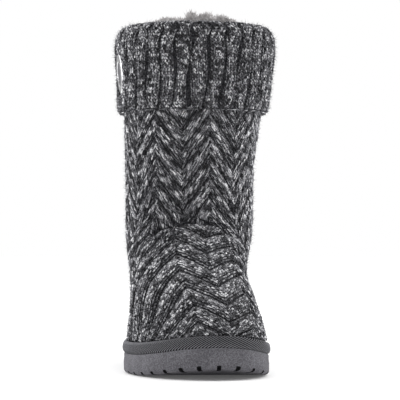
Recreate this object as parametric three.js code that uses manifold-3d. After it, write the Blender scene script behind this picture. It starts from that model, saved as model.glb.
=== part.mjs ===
// A right mukluk boot: a knitted shaft and foot in one hollow upper, a ribbed cuff folded down over the
// collar, a plush lining that shows in the mouth, a woven binding band and a moulded rubber outsole.
// Millimetres, +Z up. The toe points to -Y, the outer side of the foot is -X, the inner side is +X.
// The origin is on the ground under the middle of the shaft, on the flat of the heel.

import * as THREE from "three";
import { mergeVertices } from "three/addons/utils/BufferGeometryUtils.js";
import Module from "manifold-3d";

const wasm = await Module();
wasm.setup();

// Sizes of the last and of the upper, outside the knit
const UPPER_LENGTH = 266;
const HEEL_REACH = 62; // from the middle of the shaft back to the heel
const BALL_WIDTH = 97;
const BALL_SKEW = 11; // how far the outer ball lies behind the middle of the two, and the inner one ahead
const TOE_SWING = 11; // how far the toe curves to the inner side
const INSTEP_HEIGHT = 117; // ground to the bend of foot and shaft
const COLLAR_HEIGHT = 262; // ground to the rim that the cuff folds over
const SHAFT_WIDTH = 105;
const SHAFT_DEPTH = 124;
const UPPER_WALL = 4; // knit and its cloth backing

// Sizes of the outsole
const BALL_THICKNESS = 15;
const HEEL_THICKNESS = 22;
const TOE_SPRING = 7.6;
const ARCH_RISE = 2.5;
const EDGE_ROUND = 2.6; // rounding of the outsole's lower edge
const RUBBER_INSET = 0.6; // the rubber stands this far inside the band
const NOTCH_WIDTH = 2.8;
const NOTCH_HEIGHT = 2.9;
const NOTCH_DEPTH = 7;
const NOTCH_PITCH = 14.3;
const TREAD_MARGIN = 13; // from the outsole's side to the tread grooves
const TREAD_WIDTH = 3.2;
const TREAD_DEPTH = 2.6;
const TREAD_PITCH = 14;

// Sizes of the band, the insole and the lining
const BAND_HEIGHT = 8.4;
const BAND_THICKNESS = 4.3;
const INSOLE_THICKNESS = 5;
const INSOLE_ROUND = 1.6;
const PILE_THICKNESS = 7;
const PILE_CLEARANCE = 0.6; // between the pile and the knit wall, which curve a little differently
const PILE_ROUND = 2; // rounding of the pile's edges, and how far its top lies under the cuff's
const PILE_REACH = 30; // how far the pile goes down inside the collar
const LOCK_RADIUS = 3.3;
const LOCK_BREADTH = 2.2; // how many times broader a lock is along the rim than across
const LOCK_HEIGHT = 8;
const TUFT_HEIGHT = 6; // how much higher the locks stand in the tuft at the front
const LOCK_SUNK = 5; // how far the root of a lock lies under the cuff's top
const LOCK_LEAN = 0.3; // how far a lock leans along the rim, in radians
const LOCK_COUNT = 26;

// Sizes of the folded cuff
const FOLD_RISE = 10; // from the collar's rim up to the top of the fold
const CUFF_LENGTH = 70; // from the top of the fold down to the hem
const CUFF_THICKNESS = 5;
const CUFF_STANDOFF = 10.8; // the outer face, out from the shaft, where the fold is fullest
const HEM_STANDOFF = 6.4;
const RIB_COUNT = 32;
const RIB_DEPTH = 1.5;
const RIB_START = -0.08; // turn of the first furrow at the hem from the middle of the heel, in radians
const RIB_LEAN = 0.07; // turn of the ribs about the shaft from hem to fold, in radians

// Sizes of the round metal badge on the outer side of the cuff
const BADGE_DIAMETER = 34;
const BADGE_THICKNESS = 2.4;
const BADGE_RIM = 7.2;
const BADGE_RECESS = 1;
const BADGE_ABOVE_HEM = 31; // from the hem up to its middle
const BADGE_TURN = 0.14; // from straight out to the side towards the toe, in radians
const BADGE_SINK = 3; // how far its back is drawn in under the crests of the ribs

// Clearance between pieces that touch
const GAP = 0.3;

const TOE_REACH = UPPER_LENGTH - HEEL_REACH;
const CUFF_TOP = COLLAR_HEIGHT + FOLD_RISE;
const CUFF_HEM = CUFF_TOP - CUFF_LENGTH;
const BADGE_HEIGHT = CUFF_HEM + BADGE_ABOVE_HEM;
const CUT_PAST = 5; // how far a cutter runs past the surface that it opens
const RING = 52; // points round the foot
const SOLE_RING = 80;
const TURN = Math.PI * 2;

const COLOUR = {
  knit: 0x5a5a5d,
  rib: 0x555558,
  plush: 0x9a9492,
  band: 0x48484b,
  rubber: 0x66666a,
  metal: 0xd5d6d8,
  enamel: 0x3c3c40,
};

const table = (names, rows) =>
  rows.map((row) => Object.fromEntries(names.map((name, i) => [name, row[i]])));

// Sections of the foot from the feather line up to the bend. A section is a closed loop round the foot.
// band: share of the band's height. front and back rise: shares of the way from the band up to the bend.
// follow: how much the loop keeps the curve of the sole. toe, widest: shares of the toe's reach. heel: share
// of the heel's reach. outer, inner, waist: shares of the ball's width. The last two are the superellipse
// powers of the front and back ends.
const FOOT_SECTIONS = table(
  [
    "band", "frontRise", "backRise", "follow", "toe", "widest",
    "heel", "outer", "inner", "waist", "toePower", "heelPower",
  ],
  [
    [0, 0.0, 0.0, 1.0, 1.0, 0.583, 1.0, 0.54, 0.46, 0.11, 2.3, 2.6],
    [1, 0.0, 0.0, 1.0, 1.01, 0.583, 1.024, 0.542, 0.462, 0.11, 2.35, 2.6],
    [1, 0.105, 0.085, 1.0, 1.002, 0.569, 1.04, 0.532, 0.448, 0.1, 2.3, 2.55],
    [1, 0.196, 0.165, 1.0, 0.97, 0.54, 1.048, 0.52, 0.432, 0.085, 2.2, 2.5],
    [1, 0.307, 0.253, 0.9, 0.905, 0.49, 1.04, 0.512, 0.418, 0.07, 2.1, 2.45],
    [1, 0.417, 0.358, 0.75, 0.798, 0.422, 1.016, 0.508, 0.412, 0.05, 2.05, 2.4],
    [1, 0.515, 0.463, 0.6, 0.681, 0.343, 0.984, 0.508, 0.414, 0.035, 2.0, 2.3],
    [1, 0.614, 0.576, 0.45, 0.563, 0.255, 0.952, 0.51, 0.428, 0.02, 2.0, 2.2],
    [1, 0.727, 0.698, 0.3, 0.455, 0.157, 0.927, 0.515, 0.456, 0.01, 2.0, 2.1],
    [1, 0.857, 0.84, 0.15, 0.363, 0.069, 0.911, 0.52, 0.483, 0.0, 2.0, 2.1],
  ],
);

// Sections of the shaft. rise: share of the way from the bend to the collar. front, widest, back: shares of
// half the shaft's depth. outer and inner: shares of half its width.
const SHAFT_SECTIONS = table(
  ["rise", "front", "widest", "back", "outer", "inner"],
  [
    [0.0, 1.01, 0.11, 0.903, 0.962, 0.918],
    [0.09, 0.965, 0.07, 0.905, 0.96, 0.925],
    [0.3, 0.95, 0.02, 0.92, 0.97, 0.945],
    [0.57, 0.968, 0.0, 0.952, 0.982, 1.05],
    [0.81, 0.99, 0.0, 0.984, 0.958, 1.08],
    [1.0, 1.0, 0.0, 1.0, 0.938, 1.085],
  ],
);
const SHAFT_POWER = 2.1;

// The rows of the upper's mesh, in sections from the feather line. The toe bends most, so it has half steps.
const OUTER_ROWS = [0, 1, 2, 2.5, 3, 3.5, 4, 5, 6, 7, 8, 9, 10, 11, 12, 13, 14, 15];
const INNER_ROWS = [0, 1, 2, 3, 4, 5, 6, 7, 8, 9, 10, 11, 13, 14, 15];

// Profile of the cuff, once round its fold. rise: share of the way from hem to top. full: share of the way
// out from the hem's standoff to the fullest standoff. ribbed: share of the ribs' depth.
const CUFF_FACE = table(
  ["rise", "full", "ribbed"],
  [
    [0.0, -0.3, 0.6],
    [0.05, 0.05, 1.0],
    [0.36, 0.48, 1.0],
    [0.68, 0.95, 1.0],
    [0.83, 0.9, 1.0],
    [0.92, 0.52, 0.9],
    [0.98, -0.15, 0.7],
    [1.0, -1.0, 0.4],
  ],
);
const FLAP_LINING = table(
  ["rise", "full"],
  [
    [0.74, 0.85],
    [0.36, 0.46],
    [0.04, 0.02],
  ],
);

const clamp = (x, low, high) => Math.min(high, Math.max(low, x));
const mix = (a, b, t) => a + (b - a) * t;
const smooth = (x) => {
  const t = clamp(x, 0, 1);
  return t * t * (3 - 2 * t);
};
const hump = (x, from, to) => Math.sin(Math.PI * clamp((x - from) / (to - from), 0, 1)) ** 2;

// The sole's underside and top as heights over the ground: flat under heel and ball, hollow at the arch,
// and lifted at the toe.
const SPRING_START = 0.66;
const SPRING_POWER = 3.2;
const ARCH_START = 0.29;
const ARCH_END = 0.56;
const HEEL_FLAT = 0.12; // the sole's top falls from here to the ball, as shares of the foot
const BALL_FLAT = 0.58;
const alongFoot = (y) => (HEEL_REACH - y) / UPPER_LENGTH;
const toeLift = (y) =>
  TOE_SPRING * Math.max(0, (alongFoot(y) - SPRING_START) / (1 - SPRING_START)) ** SPRING_POWER;
const soleBottom = (y) => toeLift(y) + ARCH_RISE * hump(alongFoot(y), ARCH_START, ARCH_END);
const soleTop = (y) =>
  toeLift(y) +
  mix(HEEL_THICKNESS, BALL_THICKNESS, smooth((alongFoot(y) - HEEL_FLAT) / (BALL_FLAT - HEEL_FLAT)));

// One section as lengths: where the loop's front, back and widest points are, and how high.
const footLoop = (row) => {
  const climb = INSTEP_HEIGHT - BAND_HEIGHT;
  const base = mix(GAP, BAND_HEIGHT, row.band);
  return {
    follow: row.follow,
    zFront: base + row.frontRise * climb,
    zBack: base + row.backRise * climb,
    front: -row.toe * TOE_REACH,
    widest: -row.widest * TOE_REACH,
    back: row.heel * HEEL_REACH,
    outer: row.outer * BALL_WIDTH,
    inner: row.inner * BALL_WIDTH,
    waist: row.waist * BALL_WIDTH,
    skew: BALL_SKEW * row.follow,
    toePower: row.toePower,
    heelPower: row.heelPower,
  };
};
const shaftLoop = (row) => {
  const height = mix(INSTEP_HEIGHT, COLLAR_HEIGHT, row.rise);
  return {
    follow: 0,
    zFront: height,
    zBack: height,
    front: (-row.front * SHAFT_DEPTH) / 2,
    widest: (-row.widest * SHAFT_DEPTH) / 2,
    back: (row.back * SHAFT_DEPTH) / 2,
    outer: (row.outer * SHAFT_WIDTH) / 2,
    inner: (row.inner * SHAFT_WIDTH) / 2,
    waist: 0,
    skew: 0,
    toePower: SHAFT_POWER,
    heelPower: SHAFT_POWER,
  };
};
const LOOPS = [...FOOT_SECTIONS.map(footLoop), ...SHAFT_SECTIONS.map(shaftLoop)];
const LAST = LOOPS.length - 1;

// The sections between two rows of the tables follow a Catmull-Rom curve through the four rows round them.
const loopAt = (t) => {
  const i = clamp(Math.floor(t), 0, LAST - 1);
  const f = t - i;
  const [a, b, c, d] = [i - 1, i, i + 1, i + 2].map((k) => LOOPS[clamp(k, 0, LAST)]);
  const between = (name) =>
    b[name] +
    0.5 * f * (c[name] - a[name] +
      f * (2 * a[name] - 5 * b[name] + 4 * c[name] - d[name] +
        f * (3 * (b[name] - c[name]) + d[name] - a[name])));
  return Object.fromEntries(Object.keys(b).map((name) => [name, between(name)]));
};

// A point of the upper's outer face. angle runs from the heel (0) over the outer side to the toe (pi) and
// back over the inner side.
const WAIST_MIDDLE = 0.42;
const WAIST_SPAN = 0.3;
const SWING_START = 0.55; // the toe swings to the inner side from here on
const onUpper = (angle, t) => {
  const loop = loopAt(t);
  const s = Math.sin(angle);
  const c = Math.cos(angle);
  const power = c < 0 ? loop.toePower : loop.heelPower;
  const widest = loop.widest + loop.skew * s;
  const end = c < 0 ? loop.front : loop.back;
  const y = widest + (end - widest) * Math.abs(c) ** (2 / power);
  const side = Math.abs(s) ** (2 / power);
  const waist = loop.waist * hump(alongFoot(y), WAIST_MIDDLE - WAIST_SPAN, WAIST_MIDDLE + WAIST_SPAN);
  const across = s > 0 ? -side * (loop.outer - 0.5 * waist) : side * (loop.inner - waist);
  const swing = TOE_SWING * Math.max(0, (alongFoot(y) - SWING_START) / (1 - SWING_START)) ** 2;
  const climb = (y - loop.front) / (loop.back - loop.front);
  const z = loop.follow * soleTop(y) + mix(loop.zFront, loop.zBack, climb);
  return new THREE.Vector3(across + swing, y, z);
};

const STEP = 0.004;
const normalOf = (angle, t) => {
  const round = onUpper(angle + STEP, t).sub(onUpper(angle - STEP, t));
  const up = onUpper(angle, Math.min(t + STEP, LAST)).sub(onUpper(angle, Math.max(t - STEP, 0)));
  return round.cross(up).normalize();
};
const levelNormal = (angle, t) => normalOf(angle, t).setZ(0).normalize();

const angles = (count) => Array.from({ length: count }, (_, i) => (TURN * i) / count);

// The outer face of the upper moved out (or in) along the level, at a section.
const besideUpper = (angle, t, out) =>
  onUpper(angle, t).addScaledVector(levelNormal(angle, t), out);

// The section of the shaft that lies at a height.
const sectionAtHeight = (height) => {
  let low = FOOT_SECTIONS.length;
  let high = LAST;
  for (let i = 0; i < 24; i += 1) {
    const middle = (low + high) / 2;
    if (loopAt(middle).zFront < height) low = middle;
    else high = middle;
  }
  return (low + high) / 2;
};
const besideShaft = (angle, height, out) => {
  const t = height < COLLAR_HEIGHT ? sectionAtHeight(height) : LAST;
  return besideUpper(angle, t, out).setZ(height);
};

// Meshes from rows of points. Each row is a closed loop, and all rows have as many points.
const flatten = (rows) => rows.flat().flatMap((p) => [p.x, p.y, p.z]);
const quads = (rowCount, count, wrap) => {
  const faces = [];
  const pairs = wrap ? rowCount : rowCount - 1;
  for (let r = 0; r < pairs; r += 1) {
    const next = (r + 1) % rowCount;
    for (let i = 0; i < count; i += 1) {
      const j = (i + 1) % count;
      faces.push(r * count + i, r * count + j, next * count + j);
      faces.push(r * count + i, next * count + j, next * count + i);
    }
  }
  return faces;
};
const geometryFrom = (positions, faces) => {
  const geometry = new THREE.BufferGeometry();
  geometry.setAttribute("position", new THREE.Float32BufferAttribute(positions, 3));
  geometry.setIndex(faces);
  return facingOut(geometry);
};
const facingOut = (geometry) => {
  const index = geometry.index.array;
  const p = geometry.attributes.position;
  const corner = (k) => new THREE.Vector3().fromBufferAttribute(p, index[k]);
  let volume = 0;
  for (let i = 0; i < index.length; i += 3)
    volume += corner(i).dot(corner(i + 1).cross(corner(i + 2)));
  if (volume < 0)
    for (let i = 0; i < index.length; i += 3)
      [index[i + 1], index[i + 2]] = [index[i + 2], index[i + 1]];
  return geometry;
};

// A ring: the rows go once round its cross-section.
const ring = (rows) => geometryFrom(flatten(rows), quads(rows.length, rows[0].length, true));

// A plate: the rows are stacked, and each end is closed by strips from side to side.
const plate = (rows) => {
  const count = rows[0].length;
  const faces = quads(rows.length, count, false);
  const half = count / 2;
  const cap = (start, flip) => {
    for (let i = 0; i < half; i += 1) {
      const [a, b, c, d] = [i, i + 1, count - i - 1, (count - i) % count].map((k) => start + k);
      const strip = i === 0 ? [a, b, c] : i === half - 1 ? [a, b, d] : [a, b, c, a, c, d];
      if (flip) strip.reverse();
      faces.push(...strip);
    }
  };
  cap(0, true);
  cap((rows.length - 1) * count, false);
  return geometryFrom(flatten(rows), faces);
};

// Solids for cutting and joining
const solidOf = (geometry) => {
  const bare = new THREE.BufferGeometry();
  bare.setAttribute("position", geometry.attributes.position.clone());
  if (geometry.index) bare.setIndex(geometry.index.clone());
  const merged = mergeVertices(bare, 1e-4);
  return new wasm.Manifold(
    new wasm.Mesh({
      numProp: 3,
      vertProperties: new Float32Array(merged.attributes.position.array),
      triVerts: new Uint32Array(merged.index.array),
    }),
  );
};
const geometryOf = (solid) => {
  const mesh = solid.getMesh();
  return geometryFrom(Array.from(mesh.vertProperties), Array.from(mesh.triVerts));
};

// The upper: knit and backing as one wall, open at the collar and open underneath, where the sole closes it.
const upperGeometry = () => {
  const outside = OUTER_ROWS.map((t) => angles(RING).map((a) => onUpper(a, t)));
  const inside = INNER_ROWS.map((t) =>
    angles(RING).map((a) => {
      if (t === 0) {
        const foot = besideUpper(a, t, -UPPER_WALL);
        return foot.setZ(soleTop(foot.y) + GAP);
      }
      if (t === LAST) return besideUpper(a, t, -UPPER_WALL);
      return onUpper(a, t).addScaledVector(normalOf(a, t), -UPPER_WALL);
    }),
  );
  return ring([...outside, ...inside.reverse()]);
};

// The woven band that covers the seam of upper and sole: its inner face follows the upper.
const BAND_PROFILE = table(
  ["out", "rise"],
  [
    [0.86, 0.0],
    [1.06, 0.22],
    [1.1, 0.55],
    [0.94, 0.86],
    [0.62, 1.0],
  ],
);
const bandGeometry = () => {
  const around = angles(RING);
  const foot = around.map((a) => {
    const p = besideUpper(a, 0, GAP);
    return p.setZ(soleTop(p.y) + GAP);
  });
  const face = BAND_PROFILE.map((row) =>
    around.map((a) => {
      const p = besideUpper(a, 0, GAP + row.out * BAND_THICKNESS);
      return p.setZ(soleTop(p.y) + mix(GAP, BAND_HEIGHT, row.rise));
    }),
  );
  const lip = around.map((a) => besideUpper(a, 1, GAP));
  return ring([foot, ...face, lip]);
};

// The insole lies on the outsole, inside the upper.
const insoleGeometry = () => {
  const row = (inset, height) =>
    angles(RING).map((a) => {
      const p = besideUpper(a, 0, -(UPPER_WALL + GAP + inset));
      return p.setZ(soleTop(p.y) + GAP + height);
    });
  return plate([
    row(0, 0),
    row(0, INSOLE_THICKNESS - INSOLE_ROUND),
    row(INSOLE_ROUND, INSOLE_THICKNESS),
  ]);
};

// The outsole's side at an angle: out is measured from the upper, share from the underside to the top.
const soleOut = BAND_THICKNESS + GAP - RUBBER_INSET;
const soleSide = (angle, out, share, lift) => {
  const p = besideUpper(angle, 0, out);
  return p.setZ(mix(soleBottom(p.y), soleTop(p.y), share) + lift);
};
// round and lift: shares of the edge's rounding, inwards and upwards. swell: share of the inset that the wall
// swells out again. share: share of the wall's height.
const SOLE_PROFILE = table(
  ["round", "lift", "swell", "share"],
  [
    [1.0, 0.0, 0.0, 0.0],
    [0.3, 0.3, 0.0, 0.0],
    [0.0, 1.0, 0.0, 0.0],
    [0.0, 0.0, 0.6, 0.6],
    [0.0, 0.0, 0.0, 1.0],
  ],
);
const soleBody = () =>
  plate(
    SOLE_PROFILE.map(({ round, lift, swell, share }) => {
      const out = soleOut - EDGE_ROUND * round + RUBBER_INSET * swell;
      return angles(SOLE_RING).map((a) => soleSide(a, out, share, EDGE_ROUND * lift));
    }),
  );

// Places at one pitch along the outsole's edge, starting from the middle of the toe.
const edgePlaces = () => {
  const samples = 720;
  const edge = Array.from({ length: samples + 1 }, (_, i) => {
    const angle = Math.PI + (TURN * i) / samples;
    return { angle, point: besideUpper(angle, 0, soleOut).setZ(0) };
  });
  const reach = [0];
  for (let i = 1; i <= samples; i += 1)
    reach.push(reach[i - 1] + edge[i].point.distanceTo(edge[i - 1].point));
  const count = Math.round(reach[samples] / NOTCH_PITCH);
  return Array.from({ length: count }, (_, k) => {
    const wanted = (reach[samples] * k) / count;
    return edge[reach.findIndex((r) => r >= wanted)].angle;
  });
};
const notch = (angle) => {
  const p = besideUpper(angle, 0, soleOut);
  const n = levelNormal(angle, 0);
  const height = NOTCH_HEIGHT + CUT_PAST;
  const box = new THREE.BoxGeometry(NOTCH_DEPTH + CUT_PAST, NOTCH_WIDTH, height);
  box.translate((CUT_PAST - NOTCH_DEPTH) / 2, 0, soleBottom(p.y) - CUT_PAST + height / 2);
  box.rotateZ(Math.atan2(n.y, n.x));
  box.translate(p.x, p.y, 0);
  return solidOf(box);
};

// Tread grooves across the sole under ball and heel, each a shallow chevron with its point to the toe.
const TREAD_POINT = 0.1; // how far the point leads, as a share of the groove's width from side to side
const TREAD_ZONES = [
  { from: 0.07, to: 0.2 },
  { from: 0.56, to: 0.88 },
];
const sideAt = (y, inner) => {
  const from = inner ? Math.PI : 0;
  const side = angles(SOLE_RING)
    .filter((a) => a >= from && a <= from + Math.PI)
    .map((a) => besideUpper(a, 0, soleOut));
  const nearest = side.reduce((best, p) => (Math.abs(p.y - y) < Math.abs(best.y - y) ? p : best));
  return nearest.x;
};
const treadGroove = (y) => {
  const left = sideAt(y, false) + TREAD_MARGIN;
  const right = sideAt(y, true) - TREAD_MARGIN;
  const middle = (left + right) / 2;
  const point = (right - left) * TREAD_POINT;
  const w = TREAD_WIDTH / 2;
  const outline = new THREE.Shape(
    [
      [left, y + w],
      [left, y - w],
      [middle, y - w - point],
      [right, y - w],
      [right, y + w],
      [middle, y + w - point],
    ].map(([x, v]) => new THREE.Vector2(x, v)),
  );
  const groove = new THREE.ExtrudeGeometry(outline, { depth: TREAD_DEPTH + CUT_PAST, bevelEnabled: false });
  groove.translate(0, 0, soleBottom(y) - CUT_PAST);
  return solidOf(groove);
};
const outsoleGeometry = () => {
  const grooves = TREAD_ZONES.flatMap(({ from, to }) => {
    const count = Math.max(1, Math.round(((to - from) * UPPER_LENGTH) / TREAD_PITCH));
    return Array.from({ length: count }, (_, i) =>
      treadGroove(HEEL_REACH - UPPER_LENGTH * mix(from, to, (i + 0.5) / count)),
    );
  });
  const cutters = [...edgePlaces().map(notch), ...grooves];
  return geometryOf(cutters.reduce((body, cutter) => body.subtract(cutter), solidOf(soleBody())));
};

// The ribbed cuff: one knitted band that rises inside, rolls over the collar and hangs down outside.
const cuffHeight = (rise) => mix(CUFF_HEM, CUFF_TOP, rise);
const cuffOut = (full) => mix(HEM_STANDOFF, CUFF_STANDOFF, full);
const RIB_SHAPE = [-1, 0.1, 0.1];
const COLUMNS_PER_RIB = RIB_SHAPE.length;
const FOLD_INSIDE = 0.72; // where the fold straightens inside, as a share of the way from rim to top
const cuffRing = () => {
  const count = RIB_COUNT * COLUMNS_PER_RIB;
  const lean = (rise) => RIB_START + RIB_LEAN * rise;
  const face = CUFF_FACE.map(({ rise, full, ribbed }) =>
    angles(count).map((a, i) => {
      const rib = RIB_DEPTH * ribbed * RIB_SHAPE[i % COLUMNS_PER_RIB];
      return besideShaft(a + lean(rise), cuffHeight(rise), cuffOut(full) + rib);
    }),
  );
  const level = (rise, out) =>
    angles(count).map((a) => besideShaft(a + lean(rise), cuffHeight(rise), out));
  const rimRise = (COLLAR_HEIGHT + GAP - CUFF_HEM) / (CUFF_TOP - CUFF_HEM);
  const innerLip = -UPPER_WALL + GAP;
  const lining = FLAP_LINING.map(({ rise, full }) =>
    level(rise, Math.max(GAP, cuffOut(full) - CUFF_THICKNESS)),
  );
  return ring([
    ...face,
    level(mix(rimRise, 1, FOLD_INSIDE), innerLip),
    level(rimRise, innerLip),
    level(rimRise, GAP),
    ...lining,
  ]);
};

// Where the badge lies: over the cuff's ribs, tipped with the cuff's face, its back drawn into the knit.
const badgeRadius = BADGE_DIAMETER / 2;
const BADGE_SIDES = 28;
const placeOfBadge = () => {
  const rise = (BADGE_HEIGHT - CUFF_HEM) / (CUFF_TOP - CUFF_HEM);
  const angle = Math.PI / 2 + BADGE_TURN;
  const outAt = (share) => {
    const above = Math.max(1, CUFF_FACE.findIndex((row) => row.rise > share));
    const [low, high] = [CUFF_FACE[above - 1], CUFF_FACE[above]];
    return cuffOut(mix(low.full, high.full, (share - low.rise) / (high.rise - low.rise)));
  };
  const crest = RIB_DEPTH * Math.max(...RIB_SHAPE);
  const reach = BADGE_DIAMETER / (CUFF_TOP - CUFF_HEM) / 2;
  const lean = (outAt(rise + reach) - outAt(rise - reach)) / BADGE_DIAMETER;
  const outward = levelNormal(angle, sectionAtHeight(BADGE_HEIGHT)).setZ(-lean).normalize();
  const point = besideShaft(angle, BADGE_HEIGHT, outAt(rise) + crest - BADGE_SINK);
  const turn = new THREE.Quaternion().setFromUnitVectors(new THREE.Vector3(0, 0, 1), outward);
  return { point, turn };
};
const badgeSeat = placeOfBadge();
const seatCutter = () => {
  const depth = BADGE_SINK + CUFF_THICKNESS;
  const cutter = new THREE.CylinderGeometry(badgeRadius + GAP, badgeRadius + GAP, depth, BADGE_SIDES);
  cutter.rotateX(Math.PI / 2);
  cutter.translate(0, 0, depth / 2 - GAP);
  cutter.applyQuaternion(badgeSeat.turn);
  cutter.translate(badgeSeat.point.x, badgeSeat.point.y, badgeSeat.point.z);
  return solidOf(cutter);
};
const cuffGeometry = () => geometryOf(solidOf(cuffRing()).subtract(seatCutter()));

// The plush lining where it shows: a ring of pile inside the collar with locks standing out of its top.
const TUFT_MIDDLE = Math.PI + 0.3;
const TUFT_SPAN = 0.62;
const LOCK_UNEVEN = 0.25; // how much the height of the locks goes up and down, as a share
const HEIGHT_SPREAD = 2.4; // from one lock to the next, in radians of a sine: no two neighbours are alike
const LEAN_SPREAD = 1.7;
const LOCK_TIP = 0.4; // radius of a lock's tip, as a share of its root's
const lockAt = (i) => {
  const angle = (TURN * (i + 0.5)) / LOCK_COUNT;
  const uneven = 1 - LOCK_UNEVEN + LOCK_UNEVEN * Math.sin(i * HEIGHT_SPREAD);
  const tuft = Math.cos(clamp((angle - TUFT_MIDDLE) / TUFT_SPAN, -1, 1) * (Math.PI / 2));
  const height = LOCK_HEIGHT * uneven + TUFT_HEIGHT * tuft;
  const middle = -(UPPER_WALL + PILE_CLEARANCE + PILE_THICKNESS * 0.5);
  const root = besideShaft(angle, CUFF_TOP - LOCK_SUNK, middle);
  const out = levelNormal(angle, LAST);
  const lock = new THREE.CylinderGeometry(LOCK_RADIUS * LOCK_TIP, LOCK_RADIUS, height, 5);
  lock.rotateX(Math.PI / 2);
  lock.scale(LOCK_BREADTH, 1, 1);
  lock.translate(0, 0, height / 2);
  lock.rotateY(LOCK_LEAN * Math.sin(i * LEAN_SPREAD));
  lock.rotateZ(Math.atan2(out.y, out.x) + Math.PI / 2);
  lock.translate(root.x, root.y, root.z);
  return solidOf(lock);
};
const pileGeometry = () => {
  const outer = -(UPPER_WALL + PILE_CLEARANCE);
  const inner = outer - PILE_THICKNESS;
  const top = CUFF_TOP - PILE_ROUND;
  const level = (height, out) => angles(RING).map((a) => besideShaft(a, height, out));
  const base = ring([
    level(COLLAR_HEIGHT - PILE_REACH, outer),
    level(COLLAR_HEIGHT, outer),
    level(top - PILE_ROUND, outer),
    level(top, mix(outer, inner, 0.35)),
    level(top - PILE_ROUND, mix(outer, inner, 0.85)),
    level(COLLAR_HEIGHT, inner),
    level(COLLAR_HEIGHT - PILE_REACH + PILE_ROUND, inner),
  ]);
  const locks = Array.from({ length: LOCK_COUNT }, (_, i) => lockAt(i));
  return geometryOf(locks.reduce((body, lock) => body.add(lock), solidOf(base)));
};

// The badge: a polished plate with a broad rolled rim, and a dark inlay.
const inlayRadius = badgeRadius - BADGE_RIM;
const turned = (profile, sides) => {
  const lathe = new THREE.LatheGeometry(
    profile.map(([r, z]) => new THREE.Vector2(r, z)),
    sides,
  );
  lathe.rotateX(Math.PI / 2);
  return geometryOf(solidOf(closedLathe(lathe)));
};
const closedLathe = (lathe) => {
  lathe.deleteAttribute("normal");
  lathe.deleteAttribute("uv");
  const merged = mergeVertices(lathe, 1e-4);
  const index = Array.from(merged.index.array);
  const faces = [];
  for (let i = 0; i < index.length; i += 3) {
    const [a, b, c] = index.slice(i, i + 3);
    if (a !== b && b !== c && c !== a) faces.push(a, b, c);
  }
  return geometryFrom(Array.from(merged.attributes.position.array), faces);
};
// Section of the rim. inward: share of the rim's width in from the edge. up: share of the thickness.
const RIM_PROFILE = table(
  ["inward", "up"],
  [
    [0.083, 0.0],
    [0.0, 0.25],
    [0.0, 0.55],
    [0.3, 0.94],
    [0.6, 1.0],
    [1.0, 0.875],
  ],
);
const badgePlate = () => {
  const floor = BADGE_THICKNESS - BADGE_RECESS;
  const rim = RIM_PROFILE.map(({ inward, up }) => [badgeRadius - BADGE_RIM * inward, BADGE_THICKNESS * up]);
  return turned([[0, 0], ...rim, [inlayRadius, floor], [0, floor]], BADGE_SIDES);
};

// Section of the inlay, which is a little domed. reach: share of its radius. up: share of its thickness.
const INLAY_THICKNESS = 0.65;
const INLAY_PROFILE = table(
  ["reach", "up"],
  [
    [1.0, 0.0],
    [1.0, 0.54],
    [0.6, 0.85],
    [0.0, 1.0],
  ],
);
const badgeInlay = () => {
  const low = BADGE_THICKNESS - BADGE_RECESS + GAP;
  const radius = inlayRadius - GAP;
  const face = INLAY_PROFILE.map(({ reach, up }) => [radius * reach, low + INLAY_THICKNESS * up]);
  return turned([[0, low], ...face], BADGE_SIDES);
};

const piece = (name, geometry, color, roughness, metalness = 0) => {
  const mesh = new THREE.Mesh(
    geometry,
    new THREE.MeshStandardMaterial({ color, roughness, metalness, flatShading: true }),
  );
  mesh.name = name;
  return mesh;
};

const badge = new THREE.Group();
badge.add(piece("badge_plate", badgePlate(), COLOUR.metal, 0.18, 1));
badge.add(piece("badge_inlay", badgeInlay(), COLOUR.enamel, 0.25));
badge.position.copy(badgeSeat.point);
badge.quaternion.copy(badgeSeat.turn);

const boot = new THREE.Group();
boot.name = "mukluk_boot_right";
boot.add(piece("outsole", outsoleGeometry(), COLOUR.rubber, 0.75));
boot.add(piece("binding_band", bandGeometry(), COLOUR.band, 0.9));
boot.add(piece("insole", insoleGeometry(), COLOUR.plush, 0.95));
boot.add(piece("upper", upperGeometry(), COLOUR.knit, 0.95));
boot.add(piece("cuff", cuffGeometry(), COLOUR.rib, 0.95));
boot.add(piece("collar_pile", pileGeometry(), COLOUR.plush, 1));
boot.add(badge);

export default boot;
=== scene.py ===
import math

import bpy
import numpy as np
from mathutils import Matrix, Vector


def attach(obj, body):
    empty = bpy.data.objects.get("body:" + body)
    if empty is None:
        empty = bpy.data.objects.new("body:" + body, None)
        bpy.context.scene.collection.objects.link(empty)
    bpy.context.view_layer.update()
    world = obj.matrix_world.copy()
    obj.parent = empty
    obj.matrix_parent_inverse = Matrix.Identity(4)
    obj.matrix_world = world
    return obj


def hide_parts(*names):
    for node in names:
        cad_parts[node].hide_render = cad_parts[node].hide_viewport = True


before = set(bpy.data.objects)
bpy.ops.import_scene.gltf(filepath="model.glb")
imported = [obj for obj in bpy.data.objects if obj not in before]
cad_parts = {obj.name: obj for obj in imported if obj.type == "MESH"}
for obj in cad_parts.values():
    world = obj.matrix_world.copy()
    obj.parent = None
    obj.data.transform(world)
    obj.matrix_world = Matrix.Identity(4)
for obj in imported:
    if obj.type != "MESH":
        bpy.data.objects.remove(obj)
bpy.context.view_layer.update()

# The upper.
# A thick marl knit on a cloth backing, sewn up as one hollow wall and pulled over the last. It is open at
# the collar, closed underneath by the sole and brushed soft inside. The last's loops go from the sole's
# edge up to the collar, and every piece below takes its shape from them, in millimetres.
MM = 0.001
TURN = 2 * math.pi
UPPER_LENGTH, HEEL_REACH, BALL_WIDTH, BALL_SKEW, TOE_SWING = 266, 62, 97, 11, 11
TOE_REACH = UPPER_LENGTH - HEEL_REACH
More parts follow.
